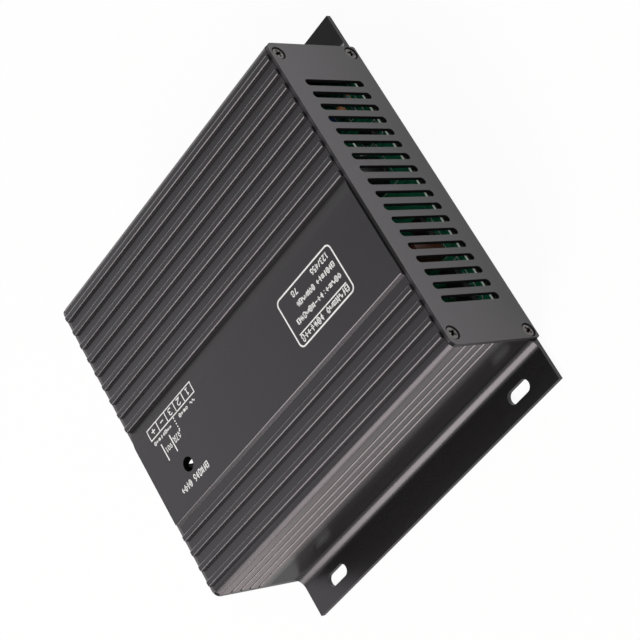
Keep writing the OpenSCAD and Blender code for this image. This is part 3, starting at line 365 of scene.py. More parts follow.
def anodisedExtrusion(look):
    finish = Finish("anodisedExtrusion")
    line = finish.noise(1.0, 3.0, finish.stretched(look["lineScale"]))
    band = finish.noise(1.0, 2.0, finish.stretched(look["bandScale"]))
    cloud = finish.noise(look["cloudScale"], 3.0)
    grain = finish.noise(look["grainScale"], 1.0)
    roughness = swung(look["roughness"], (line, look["lineRough"]), (cloud, look["cloudRough"]),
                      (band, look["bandRough"]))
    tone = clouding(cloud, look, (band, look["bandGain"]))
    color = finish.mix(tone * look["wornShare"], look["color"], look["wornColor"])
    x, y, z = finish.axes()
    sideways, upward = finish.facing()[1:]
    outward = abs(sideways)
    # painted reflection: a lighter warm colour on the wall faces, more of it upwards and towards +X
    dustAndPaintedReflection = (x / look["reflectionReach"] + (x / look["reflectionBend"]) ** 2 + look["reflectionStart"]).limited()
    dustAndPaintedReflection = dustAndPaintedReflection * z.smooth(*look["reflectionFoot"]) * (abs(y) > look["grooveFace"])
    color = finish.mix(dustAndPaintedReflection, color, look["dustAndPaintedReflection"])
    # the walls lean back a little towards the roof, and more so where they round over to it
    above = (z - look["cornerLow"]).most(0.0)
    lean = z * look["wallCrown"] + above.least(look["cornerHigh"] - look["cornerLow"]) * look["cornerCrown"]
    lean = lean + above.least(look["cornerMiddle"] - look["cornerLow"]) * look["cornerStart"]
    # the bevel is a little steeper than it is cut
    onBevel = (y > look["bevelStart"]) * (y < look["bevelEnd"])
    lean = lean - (highs("housing")[2] - z).most(0.0) * onBevel * look["bevelCrown"]
    normal = finish.bump(lean * -1.0, 1.0)
    normal = finish.bump(grain, look["grainDepth"], look["grainStrength"], normal)
    normal = finish.bump(line, look["lineDepth"], look["lineStrength"], normal)
    coat = finish.coat(Base_Color=color, Roughness=roughness, Normal=normal, Specular_Tint=look["sheen"])
    # painted shade: a dark matt finish takes the place of the gloss on flanges, corners, feet of the walls,
    # ramp and flanks of the ridges
    fade = (x + abs(y) * look["fadeSlant"]).smooth(*look["fadeReach"])
    flange = (z < look["flangeTop"]) * (upward > look["level"]) * (1 - fade)
    corner = (above > 0.0) * (outward > look["rounded"]) * (z < look["cornerHigh"])
    foot = (outward > look["upright"]) * (z < look["wallFoot"])
    ramp = (0.0 - sideways).smooth(*look["rampTilt"]) * (sideways > -look["rampLimit"])
    ramp = ramp * (z > look["cornerHigh"])
    flank = (outward > look["flankTilt"]) * (z > look["cornerLow"]) * (abs(y) < look["flankReach"])
    share = flange * look["flangeShare"] + corner * look["cornerShare"] + foot * look["footShare"]
    share = share + ramp * look["rampShare"] + flank * look["flankShare"]
    return finish.shown(finish.blend(share, coat, finish.matt(look["paintedShade"])))


plateLook = {
    "color": (0.072, 0.067, 0.072), "dustColor": (0.092, 0.086, 0.090), "dustShare": 0.8,
    "cloudScale": 30.0, "cloudStart": 0.3, "roughness": 0.48, "cloudRough": 0.08, "grainRough": 0.06,
    "grainScale": 2600.0, "grainDepth": 0.012 * mm, "grainStrength": 0.55,
    "fineScale": 7000.0, "fineShare": 0.4, "fineStrength": 0.5,
    # lowShare, highShare and sideFall set a painted shade across the plate
    "lowShare": 0.66, "highShare": 1.22, "sideFall": 2.2,  # brightness low and high, and its fall along Y
    # painted shade on the cut faces: its dark matt colour, the turn from X that marks a cut face, and its
    # share
    "paintedCutShade": (0.006, 0.006, 0.007), "cutTilt": 0.85, "cutShare": 0.9,
    "outlineReach": 0.3 * mm,  # a cut face this near the plate's box is its outline
    "ventEdgeShare": 0.55, "terminalEdgeShare": 0.1,
}


def coatedPlate(name, look, edgeShare):
    finish = Finish(name)
    grain = finish.noise(look["grainScale"], 2.0)
    fine = finish.noise(look["fineScale"], 1.0)
    cloud = finish.noise(look["cloudScale"], 3.0)
    dustAndPaintedReflection = (cloud - look["cloudStart"]).limited() * look["dustShare"]
    color = finish.mix(dustAndPaintedReflection, look["color"], look["dustColor"])
    # painted shade: the coat's colour is darker low down and towards +Y
    y, z = finish.axes()[1:]
    wide, high = highs("vent_end_plate")[1:]
    light = (z / high - y * look["sideFall"]).limited()
    light = light * (look["highShare"] - look["lowShare"]) + look["lowShare"]
    color = finish.node("VectorMath", {"operation": "SCALE"}, {0: color, "Scale": light}).outputs[0]
    roughness = swung(look["roughness"], (cloud, look["cloudRough"]), (grain, look["grainRough"]))
    normal = finish.bump(grain, look["grainDepth"], look["grainStrength"])
    normal = finish.bump(fine, look["grainDepth"] * look["fineShare"], look["fineStrength"], normal)
    coat = finish.coat(Base_Color=color, Roughness=roughness, Normal=normal)
    # painted shade: punched slots and screw sinks are a dark matt, the sheared outline less so
    outline = (z > high - look["outlineReach"]).most(abs(y) > wide - look["outlineReach"])
    share = look["cutShare"] - outline * (look["cutShare"] - edgeShare)
    share = (abs(finish.facing()[0]) < look["cutTilt"]) * share
    return finish.shown(finish.blend(share, coat, finish.matt(look["paintedCutShade"])))


wear("housing", anodisedExtrusion(extrusionLook))
wear("vent_end_plate", coatedPlate("ventPlateCoat", plateLook, plateLook["ventEdgeShare"]))
wear("terminal_end_plate", coatedPlate("terminalPlateCoat", plateLook, plateLook["terminalEdgeShare"]))
print("case finished")

# general finishes of the small parts

# for each: colour, second colour of its clouding, roughness, scale of its grain per metre, grain depth
plasticLooks = {
    "terminalMoulding": ((0.016, 0.016, 0.017), (0.024, 0.024, 0.025), 0.38, 2400.0, 0.010 * mm),
    "spacerNylon": ((0.78, 0.77, 0.73), (0.70, 0.69, 0.64), 0.42, 1800.0, 0.006 * mm),
    "bobbinMoulding": ((0.055, 0.030, 0.018), (0.080, 0.045, 0.026), 0.45, 2200.0, 0.010 * mm),
    "baseMoulding": ((0.020, 0.020, 0.021), (0.030, 0.030, 0.031), 0.50, 2200.0, 0.010 * mm),
    "ferriteCeramic": ((0.045, 0.046, 0.050), (0.075, 0.076, 0.080), 0.62, 3200.0, 0.020 * mm),
    "yellowRingCoat": ((0.70, 0.62, 0.13), (0.60, 0.52, 0.10), 0.40, 900.0, 0.020 * mm),
    "greenRingCoat": ((0.05, 0.20, 0.11), (0.07, 0.26, 0.14), 0.38, 900.0, 0.020 * mm),
    "yellowBox": ((0.74, 0.60, 0.07), (0.66, 0.52, 0.05), 0.36, 1500.0, 0.008 * mm),
    "brownBox": ((0.105, 0.030, 0.014), (0.140, 0.045, 0.022), 0.34, 1200.0, 0.012 * mm),
    "trimmerBlue": ((0.020, 0.085, 0.36), (0.028, 0.110, 0.42), 0.36, 1800.0, 0.006 * mm),
    "rotorIvory": ((0.78, 0.74, 0.62), (0.70, 0.66, 0.52), 0.40, 1500.0, 0.006 * mm),
    "padSilicone": ((0.42, 0.43, 0.44), (0.36, 0.37, 0.38), 0.60, 1500.0, 0.020 * mm),
    "insulatingFilm": ((0.70, 0.69, 0.64), (0.62, 0.61, 0.56), 0.30, 400.0, 0.015 * mm),
    "windingTape": ((0.78, 0.52, 0.03), (0.66, 0.42, 0.02), 0.26, 700.0, 0.020 * mm),
}


plasticGrain = {"cloudScale": 90.0, "cloudStart": 0.35, "cloudGain": 2.0, "grainGain": 0.6, "strength": 0.6,
                "cloudRough": 0.12, "grainRough": 0.06}


def mouldedPlastic(name, look):
    color, second, roughness, grainScale, depth = plasticLooks[name]
    finish = Finish(name)
    grain = finish.noise(grainScale, 2.0)
    cloud = finish.noise(look["cloudScale"], 3.0)
    tone = clouding(cloud, look, (grain, look["grainGain"]))
    roughness = swung(roughness, (cloud, look["cloudRough"]), (grain, look["grainRough"]))
    return finish.surface(Base_Color=finish.mix(tone, color, second), Roughness=roughness,
                          Normal=finish.bump(grain, depth, look["strength"]))


# for each: colour, second colour of its clouding, roughness, scale of its grain per metre, grain depth
metalLooks = {
    "screwBlack": ((0.120, 0.110, 0.108), (0.190, 0.175, 0.170), 0.32, 1600.0, 0.010 * mm),
    "zincPlate": ((0.58, 0.59, 0.60), (0.66, 0.65, 0.61), 0.34, 500.0, 0.010 * mm),
    "zincScrew": ((0.60, 0.60, 0.59), (0.68, 0.66, 0.60), 0.26, 1500.0, 0.008 * mm),
    "tinnedSteel": ((0.66, 0.66, 0.64), (0.74, 0.73, 0.70), 0.24, 1500.0, 0.008 * mm),
    "enamelledWire": ((0.60, 0.22, 0.075), (0.72, 0.30, 0.110), 0.24, 900.0, 0.006 * mm),
}


metalGrain = {"cloudScale": 120.0, "cloudStart": 0.35, "cloudGain": 1.8, "cloudRough": 0.14,
              "drawnScale": (60.0, 1400.0, 1400.0), "drawnShare": 0.6, "drawnRough": 0.08, "strength": 0.6,
              # painted shade of the screws: its colour, and the depth below the plate's face past which it is
              # painted
              "recessShade": (0.010, 0.010, 0.010), "shadeDepth": 0.75 * mm}


def platedMetal(name, look):
    color, second, roughness, grainScale, depth = metalLooks[name]
    finish = Finish(name)
    grain = finish.noise(grainScale, 2.0)
    drawn = finish.noise(1.0, 2.0, finish.stretched(look["drawnScale"]))
    cloud = finish.noise(look["cloudScale"], 3.0)
    color = finish.mix(clouding(cloud, look), color, second)
    if name == "screwBlack":  # painted shade: the cross recess and the cone in the seat, deeper than a set drop below the plate's face, are near black
        inside = abs(finish.axes()[0]) < highs("terminal_end_plate")[0] - look["shadeDepth"]
        color = finish.mix(inside, color, look["recessShade"])
    roughness = swung(roughness, (cloud, look["cloudRough"]), (drawn, look["drawnRough"]))
    return finish.surface(Base_Color=color, Metallic=1.0, Roughness=roughness,
                          Normal=finish.bump(grain + drawn * look["drawnShare"], depth, look["strength"]))


plasticNodes = {
    "terminal_body": "terminalMoulding", "lamp_spacer": "spacerNylon",
    "transformer_bobbin": "bobbinMoulding", "transformer_winding": "windingTape",
    "filter_coil_base": "baseMoulding", "transformer_core_lower": "ferriteCeramic",
    "transformer_core_upper": "ferriteCeramic", "output_coil_core": "yellowRingCoat",
    "filter_coil_core": "greenRingCoat", "line_capacitor": "yellowBox", "film_capacitor": "brownBox",
    "trimmer_body": "trimmerBlue", "trimmer_rotor": "rotorIvory", "device_pads": "padSilicone",
    "insulating_sheet": "insulatingFilm",
}
metalNodes = {
    "vent_plate_screws": "screwBlack", "terminal_plate_screws": "screwBlack", "base_plate": "zincPlate",
    "terminal_clamps": "tinnedSteel", "terminal_screws": "zincScrew", "device_screws": "zincScrew",
    "fuse_caps": "tinnedSteel", "fuse_clips": "tinnedSteel", "output_coil_winding": "enamelledWire",
    "filter_coil_windings": "enamelledWire",
}
plastics = {name: mouldedPlastic(name, plasticGrain) for name in plasticLooks}
metals = {name: platedMetal(name, metalGrain) for name in metalLooks}
for nodeName, name in plasticNodes.items():
    wear(nodeName, plastics[name])
for nodeName, name in metalNodes.items():
    wear(nodeName, metals[name])

# finishes that follow a part's own places

boardTop = highs("circuit_board")[2]
boardBottom = lows("circuit_board")[2]

boardLook = {
    "mask": (0.016, 0.230, 0.115), "maskOnCopper": (0.026, 0.330, 0.165), "roughness": 0.20,
    "patchScale": 70.0, "pourStart": 0.72,  # patches per metre; the ones above this value are all copper
    "trackPitch": 2.3 * mm, "trackHalfWidth": 0.42 * mm, "copperDepth": 0.035 * mm, "copperStrength": 0.8,
    "glassEdge": (0.62, 0.72, 0.64), "edgeTop": 0.45 * mm, "edgeFoot": 0.04 * mm, "edgeRough": 0.4,
    "paintedEdgeGlow": 0.24,  # painted light: the cut edge glows, standing for light that falls on it through the vents
    "weaveScale": (900.0, 900.0, 5000.0), "weaveShare": 0.15, "weaveDepth": 0.006 * mm, "weaveStrength": 0.4,
    "cloudScale": 240.0, "cloudRough": 0.1,
}


def solderMaskedBoard(look):
    finish = Finish("solderMaskedBoard")
    x, y, z = finish.axes()
    # straight tracks run along X in one patch of the board and along Y in the next
    patch = finish.node("TexVoronoi", {"distance": "CHEBYCHEV"},
                        {"Vector": finish.place(), "Scale": look["patchScale"]})
    split = finish.node("SeparateColor", {}, {0: patch.outputs["Color"]})
    turn, pour = [Value(finish, split.outputs[i]) for i in range(2)]
    alongX = y.wrapped(look["trackPitch"]) < look["trackHalfWidth"]
    alongY = x.wrapped(look["trackPitch"]) < look["trackHalfWidth"]
    tracks = (turn > 0.5) * alongX + (turn < 0.5) * alongY
    copper = tracks.most(pour > look["pourStart"])
    # the lower part of the cut edge: light glass cloth, with a painted glint on it
    clothEdgeAndGlint = (z < boardTop - look["edgeTop"]) * (z > boardBottom + look["edgeFoot"])
    weave = finish.noise(1.0, 1.0, finish.stretched(look["weaveScale"]))
    cloth = 1 - look["weaveShare"] + weave * look["weaveShare"]
    color = finish.mix(copper, look["mask"], look["maskOnCopper"])
    color = finish.mix(clothEdgeAndGlint * cloth, color, look["glassEdge"])
    cloud = finish.noise(look["cloudScale"], 2.0)
    normal = finish.bump(copper, look["copperDepth"], look["copperStrength"])
    normal = finish.bump(weave, look["weaveDepth"], look["weaveStrength"], normal)
    return finish.surface(Base_Color=color, Normal=normal,
                          Roughness=uneven(look, cloud, clothEdgeAndGlint * look["edgeRough"]),
                          # painted light: the lower part of the cut edge glows
                          Emission_Color=finish.mix(clothEdgeAndGlint, (0, 0, 0), look["glassEdge"]),
                          Emission_Strength=look["paintedEdgeGlow"])


canLooks = {
    "smoothing_capacitor": {"sleeve": (0.010, 0.010, 0.013), "stripe": (0.55, 0.55, 0.53), "turn": 2.4},
    "output_capacitors": {"sleeve": (0.012, 0.022, 0.075), "stripe": (0.60, 0.61, 0.62), "turn": -2.2},
    "supply_capacitor": {"sleeve": (0.009, 0.009, 0.011), "stripe": (0.34, 0.33, 0.30), "turn": 0.6},
}


# shared by the cans; the reaches are shares of a can's radius
canShared = {
    "topReach": 0.80, "topDepth": 0.5 * mm, "stripeStart": 0.90, "stripeReach": 1.05,
    "markPitch": 6.4 * mm, "markLength": 0.5 * mm, "metal": (0.66, 0.67, 0.68),
    "roughness": 0.28, "metalRough": 0.06, "cloudScale": 160.0, "cloudRough": 0.12,
    "brushScale": 900.0, "brushDepth": 0.008 * mm, "brushStrength": 0.4,
}


def canCentres(nodeName, radius):
    # the output pair stands side by side along X, and any other can in the middle of its box
    low, high = lows(nodeName), highs(nodeName)
    if nodeName == "output_capacitors":
        return [(low[0] + radius, low[1] + radius), (high[0] - radius, low[1] + radius)]
    return [middle(nodeName)[:2]]


def sleevedCan(nodeName, look):
    # shrunk sleeve with a marked stripe down one side; the bare metal top shows inside the sleeve's curl
    finish = Finish(nodeName + ".can")
    x, y, z = finish.axes()
    top = highs(nodeName)[2]
    radius = (highs(nodeName)[1] - lows(nodeName)[1]) / 2
    tops, stripes = [], []
    for centreX, centreY in canCentres(nodeName, radius):
        besideX, besideY = x - centreX, y - centreY
        reach = (besideX ** 2 + besideY ** 2) ** 0.5
        toStripe = besideX * math.cos(look["turn"]) + besideY * math.sin(look["turn"])
        tops.append((reach < radius * look["topReach"]) * (z > top - look["topDepth"]))
        stripes.append((toStripe > radius * look["stripeStart"]) * (reach < radius * look["stripeReach"]))
    bare, stripe = reduce(Value.most, tops), reduce(Value.most, stripes)
    marks = (z.wrapped(look["markPitch"]) < look["markLength"]) * stripe
    brushed = finish.noise(look["brushScale"], 2.0)
    cloud = finish.noise(look["cloudScale"], 2.0)
    color = finish.mix(stripe * (1 - marks), look["sleeve"], look["stripe"])
    return finish.surface(Base_Color=finish.mix(bare, color, look["metal"]), Metallic=bare,
                          Normal=finish.bump(brushed, look["brushDepth"], look["brushStrength"]),
                          Roughness=uneven(look, cloud, bare * look["metalRough"]))


# shared by the coated parts on leads, each of which may have its own value instead
leadedShared = {
    "grain": 1600.0, "depth": 0.012 * mm, "strength": 0.6, "grainGain": 0.5,
    "cloudScale": 150.0, "cloudStart": 0.35, "cloudGain": 1.8, "cloudRough": 0.1, "leadRough": 0.26,
}


def leadedPart(name, look):
    # a coated body with tinned leads under it: below the height `leads` the metal shows
    finish = Finish(name)
    x, z = finish.axes()[::2]
    lead = z < look["leads"]
    if "pins" in look:  # pins stand beside the body of a chip
        lead = lead.most(abs(x - look["pins"][0]) > look["pins"][1])
    if "tab" in look:  # a bare metal tab stands above a device's body
        lead = lead.most((z > look["tab"]) * (1 - lead))
    grain = finish.noise(look["grain"], 2.0)
    cloud = finish.noise(look["cloudScale"], 3.0)
    body = finish.mix(clouding(cloud, look, (grain, look["grainGain"])), look["color"], look["second"])
    return finish.surface(Base_Color=finish.mix(lead, body, tinned), Metallic=lead,
                          Normal=finish.bump(grain, look["depth"], look["strength"]),
                          Roughness=uneven(look, cloud, lead * (look["leadRough"] - look["roughness"])))


chipLook = {"color": (0.020, 0.020, 0.021), "second": (0.030, 0.030, 0.031), "roughness": 0.42,
            "grain": 3200.0, "leads": boardTop + 0.55 * mm}
chipHalfWidth = 3.25 * mm
deviceBottom = lows("device_pads")[2] + 0.4 * mm
deviceTab = deviceBottom + 9.0 * mm
leadedLooks = {
    "inrush_thermistor": {"color": (0.020, 0.045, 0.034), "second": (0.030, 0.065, 0.048), "roughness": 0.40,
                          "leads": boardTop + 1.6 * mm, "grain": 700.0, "depth": 0.03 * mm},
    "surge_varistor": {"color": (0.018, 0.080, 0.33), "second": (0.026, 0.105, 0.40), "roughness": 0.34,
                       "leads": boardTop + 1.6 * mm, "grain": 600.0, "depth": 0.03 * mm},
    "ceramic_capacitor": {"color": (0.86, 0.36, 0.15), "second": (0.90, 0.46, 0.24), "roughness": 0.36,
                          "leads": boardTop + 1.5 * mm, "grain": 900.0, "depth": 0.02 * mm},
    "bridge_rectifier": {"color": (0.018, 0.018, 0.019), "second": (0.026, 0.026, 0.027), "roughness": 0.40,
                         "leads": deviceBottom},
}
for nodeName in ("switch_transistor", "output_rectifier"):
    leadedLooks[nodeName] = {"color": (0.018, 0.018, 0.019), "second": (0.028, 0.028, 0.029),
                             "roughness": 0.40, "leads": deviceBottom, "tab": deviceTab}
for nodeName in ("timer_chip", "control_chip", "optocoupler"):
    leadedLooks[nodeName] = {**chipLook, "pins": (middle(nodeName)[0], chipHalfWidth)}

# the colour of the body and the place and colour of each band, as shares of the body's length
resistorLooks = {
    "small_resistors": {"body": (0.66, 0.80, 0.78),
                        "bands": [(0.18, (0.25, 0.05, 0.02)), (0.36, (0.015, 0.015, 0.015)),
                                  (0.52, (0.55, 0.08, 0.02)), (0.82, (0.50, 0.36, 0.08))]},
    "sense_resistor": {"body": (0.10, 0.42, 0.44),
                       "bands": [(0.18, (0.60, 0.22, 0.03)), (0.36, (0.60, 0.22, 0.03)),
                                 (0.52, (0.015, 0.015, 0.015)), (0.82, (0.50, 0.36, 0.08))]},
}
resistorShared = {"length": 6.6 * mm, "bandHalf": 0.045, "roughness": 0.30, "cloudScale": 500.0,
                  "cloudRough": 0.12, "depth": 0.02 * mm, "strength": 0.4}


def bandedResistor(nodeName, look):
    # painted rings at shares of the body's length along Y, with bare leads past its two ends
    finish = Finish(nodeName + ".paint")
    y = finish.axes()[1]
    start = middle(nodeName)[1] - look["length"] / 2
    share = (y - start) / look["length"]
    color = look["body"]
    for at, paintColor in look["bands"]:
        color = finish.mix(abs(share - at) < look["bandHalf"], color, paintColor)
    lead = (share < 0.0).most(share > 1.0)
    cloud = finish.noise(look["cloudScale"], 2.0)
    return finish.surface(Base_Color=finish.mix(lead, color, tinned), Metallic=lead,
                          Normal=finish.bump(cloud, look["depth"], look["strength"]),
                          Roughness=uneven(look, cloud))


glassLook = {"color": (0.93, 0.96, 0.95), "roughness": 0.03, "cloudScale": 300.0, "cloudRough": 0.02}


def clearGlass(look):
    finish = Finish("fuseGlass")
    cloud = finish.noise(look["cloudScale"], 2.0)
    return finish.surface(Base_Color=look["color"], Transmission_Weight=1.0, Roughness=uneven(look, cloud))


wear("circuit_board", solderMaskedBoard(boardLook))
for nodeName, look in canLooks.items():
    wear(nodeName, sleevedCan(nodeName, {**canShared, **look}))
for nodeName, look in leadedLooks.items():
    wear(nodeName, leadedPart(nodeName + ".finish", {**leadedShared, **look}))
for nodeName, look in resistorLooks.items():
    wear(nodeName, bandedResistor(nodeName, {**resistorShared, **look}))
wear("fuse_glass", clearGlass(glassLook))
print("inner parts finished")

# printed marks: every mark is a ribbon of ink that follows a line


def arc(centreX, centreY, radiusX, radiusY, start, end, steps=14):
    # points on part of an ellipse: centre plus radius times the cosine and sine of an even sweep, in degrees
    sweep = np.radians(np.linspace(start, end, steps))
    return np.stack([centreX + radiusX * np.cos(sweep), centreY + radiusY * np.sin(sweep)], -1)


def track(*pieces):
    # joins points and arcs, in order, into one line
    return np.concatenate([np.atleast_2d(piece) for piece in pieces])


def strokes(*lines):
    # straight lines, each from its first two numbers to its last two
    return [track(line[:2], line[2:]) for line in lines]


def boxTrack(left, low, right, high):
    return track((left, low), (right, low), (right, high), (left, high), (left, low))


def waveTrack():
    # one period of a sine along the cell's width
    along = np.linspace(0, 1, 21)
    return np.stack([along, 0.5 + 0.34 * np.sin(2 * np.pi * along)], -1)


# figures and circuit signs, drawn in a cell one wide and one high
signs = {
    "0": [arc(0.5, 0.5, 0.40, 0.5, 90, 450, 25)],
    "1": [track((0.22, 0.76), (0.52, 1), (0.52, 0)), track((0.2, 0), (0.84, 0))],
    "2": [track(arc(0.48, 0.70, 0.38, 0.30, 165, -30), (0.08, 0), (0.90, 0))],
    "3": [track(arc(0.44, 0.76, 0.36, 0.24, 150, -85), arc(0.44, 0.27, 0.42, 0.27, 85, -150))],
    "4": [track((0.68, 0), (0.68, 1), (0.06, 0.30), (0.94, 0.30))],
    "5": [track((0.84, 1), (0.20, 1), (0.14, 0.56), arc(0.46, 0.33, 0.42, 0.33, 120, -145))],
    "6": [track((0.74, 1), arc(0.64, 0.40, 0.54, 0.52, 130, 185, 7)),
          arc(0.48, 0.31, 0.39, 0.31, 180, 540, 21)],
    "7": [track((0.08, 1), (0.90, 1), (0.38, 0))],
    "8": [arc(0.5, 0.76, 0.33, 0.24, 270, 630, 19), arc(0.5, 0.27, 0.41, 0.27, 90, 450, 21)],
    "9": [track((0.26, 0), arc(0.36, 0.60, 0.54, 0.52, -50, 5, 7)),
          arc(0.52, 0.69, 0.39, 0.31, 0, 360, 21)],
    "plus": strokes((0, 0.5, 1, 0.5), (0.5, 0.08, 0.5, 0.92)),
    "minus": strokes((0.06, 0.5, 0.94, 0.5)),
    "dots": strokes((0.4, 0.22, 0.62, 0.22), (0.4, 0.74, 0.62, 0.74)),
    "slash": strokes((0.1, 0, 0.9, 1)),
    "wave": [waveTrack()],
    "direct": strokes((0, 0.66, 1, 0.66), (0, 0.36, 0.24, 0.36), (0.38, 0.36, 0.62, 0.36),
                      (0.76, 0.36, 1, 0.36)),
    "battery": [boxTrack(0, 0.04, 1, 0.78),
                *strokes((0.22, 0.78, 0.22, 1), (0.78, 0.78, 0.78, 1), (0.62, 0.42, 0.84, 0.42),
                         (0.16, 0.42, 0.38, 0.42))],
    "bolt": [track((0.66, 1), (0.16, 0.46), (0.60, 0.56), (0.30, 0))],
    "arrow": [*strokes((0, 0.5, 0.96, 0.5)), track((0.55, 0.86), (1, 0.5), (0.55, 0.14))],
    "diode": [track((0.1, 0.08), (0.1, 0.92), (0.82, 0.5), (0.1, 0.08)), *strokes((0.88, 0.06, 0.88, 0.94))],
    "fuse": [boxTrack(0.08, 0.24, 0.92, 0.76), *strokes((0, 0.5, 1, 0.5))],
    "coil": [track((0, 0.2), arc(0.17, 0.4, 0.17, 0.32, 180, 0, 9), arc(0.5, 0.4, 0.17, 0.32, 180, 0, 9),
                   arc(0.83, 0.4, 0.17, 0.32, 180, 0, 9), (1, 0.2))],
    "ground": strokes((0.5, 1, 0.5, 0.5), (0, 0.5, 1, 0.5), (0.2, 0.25, 0.8, 0.25),
                      (0.38, 0.02, 0.62, 0.02)),
    "cell": strokes((0, 0.5, 0.34, 0.5), (0.36, 0, 0.36, 1), (0.64, 0.22, 0.64, 0.78), (0.66, 0.5, 1, 0.5)),
    "lamp": [arc(0.5, 0.5, 0.48, 0.48, 45, 405, 25),
             *strokes((0.18, 0.18, 0.82, 0.82), (0.18, 0.82, 0.82, 0.18))],
    "resistor": [track((0, 0.5), (0.12, 0.86), (0.34, 0.14), (0.56, 0.86), (0.78, 0.14), (0.92, 0.5),
                       (1, 0.5))],
    "plug": [*strokes((0.34, 1, 0.34, 0.7), (0.7, 1, 0.7, 0.7)),
             track((0.1, 0.7), (0.94, 0.7), arc(0.52, 0.62, 0.40, 0.40, 0, -180, 11), (0.1, 0.7)),
             *strokes((0.52, 0.22, 0.52, 0))],
}


shortestSide = 0.2  # where a line turns right back, its side still has a length
widestMitre = 2.0  # how far a sharp turn may widen the ribbon


def ribbon(line, width):
    # each point moves half the width to both sides, along the mitre of its two neighbouring directions
    line = np.asarray(line, float)
    closed = len(line) > 3 and np.allclose(line[0], line[-1])
    step = np.diff(line, axis=0)
    step = step / np.linalg.norm(step, axis=1, keepdims=True)
    before = np.vstack([step[-1] if closed else step[0], step])
    after = np.vstack([step, step[0] if closed else step[-1]])
    side = before + after
    side = np.stack([-side[:, 1], side[:, 0]], -1)
    side = side / np.maximum(np.linalg.norm(side, axis=1, keepdims=True), shortestSide)
    reach = np.einsum("ij,ij->i", side, np.stack([-before[:, 1], before[:, 0]], -1))
    side = side / np.maximum(reach, 1 / widestMitre)[:, None] * width / 2
    return np.stack([line - side, line + side], 1)


def finer(line, step):
    # extra points at even steps, so that a long stroke can follow a curved surface
    line = np.asarray(line, float)
    along = np.concatenate([[0], np.cumsum(np.linalg.norm(np.diff(line, axis=0), axis=1))])
    places = np.unique(np.round(np.concatenate([along, np.arange(0, along[-1], step)]), 3))
    apart = np.diff(places) > step * 0.05  # leaves out a step that all but meets a point of the line
    places = places[np.concatenate([[True], apart])]
    return np.stack([np.interp(places, along, line[:, i]) for i in range(2)], -1)


def placedSigns(names, left, right, low, high, fill=0.80):
    # a row of signs, one to a cell of equal width; None leaves a cell empty
    pitch = (right - left) / (len(names) - 1 + fill)
    scale = np.array([pitch * fill, high - low])
    return [np.asarray(line) * scale + [left + i * pitch, low]
            for i, name in enumerate(names) if name for line in signs[name]]


inkLook = {"color": (0.80, 0.80, 0.79), "thin": (0.62, 0.62, 0.61), "cloudScale": 700.0, "cloudStart": 0.42,
           "cloudGain": 2.2, "speckScale": 5200.0, "speckDepth": 0.004 * mm, "speckStrength": 0.4,
           "roughness": 0.46, "speckRough": 0.1}


def printedInk(look):
    # screen ink that is a little thinner here and there
    finish = Finish("panelInk")
    cloud = finish.noise(look["cloudScale"], 3.0)
    speck = finish.noise(look["speckScale"], 1.0)
    thin = (cloud - look["cloudStart"]).limited() * look["cloudGain"]
    return finish.surface(Base_Color=finish.mix(thin, look["color"], look["thin"]),
                          Normal=finish.bump(speck, look["speckDepth"], look["speckStrength"]),
                          Roughness=swung(look["roughness"], (speck, look["speckRough"])))


inkWhite = printedInk(inkLook)


def inkMarks(name, groups, heightAt, look):
    # groups pairs a line width with its lines; the ink lies on the height that heightAt gives
    points, faces, start = [], [], 0
    for width, lines in groups:
        for line in lines:
            strip = ribbon(finer(line, look["finest"]), width)
            height = heightAt(strip[..., 1]) + look["thickness"]
            points.append(np.concatenate([strip, height[..., None]], -1).reshape(-1, 3))
            faces.append(gridFaces(len(strip), 2, False, start)[:, ::-1])
            start += 2 * len(strip)
    piece = meshObject(name, np.concatenate(points) * mm, np.concatenate(faces), smooth=False)
    solid = piece.modifiers.new("thickness", "SOLIDIFY")
    solid.thickness = look["depth"] * mm
    solid.offset = -1.0
    piece.data.materials.append(inkWhite)
    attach(piece, "root")


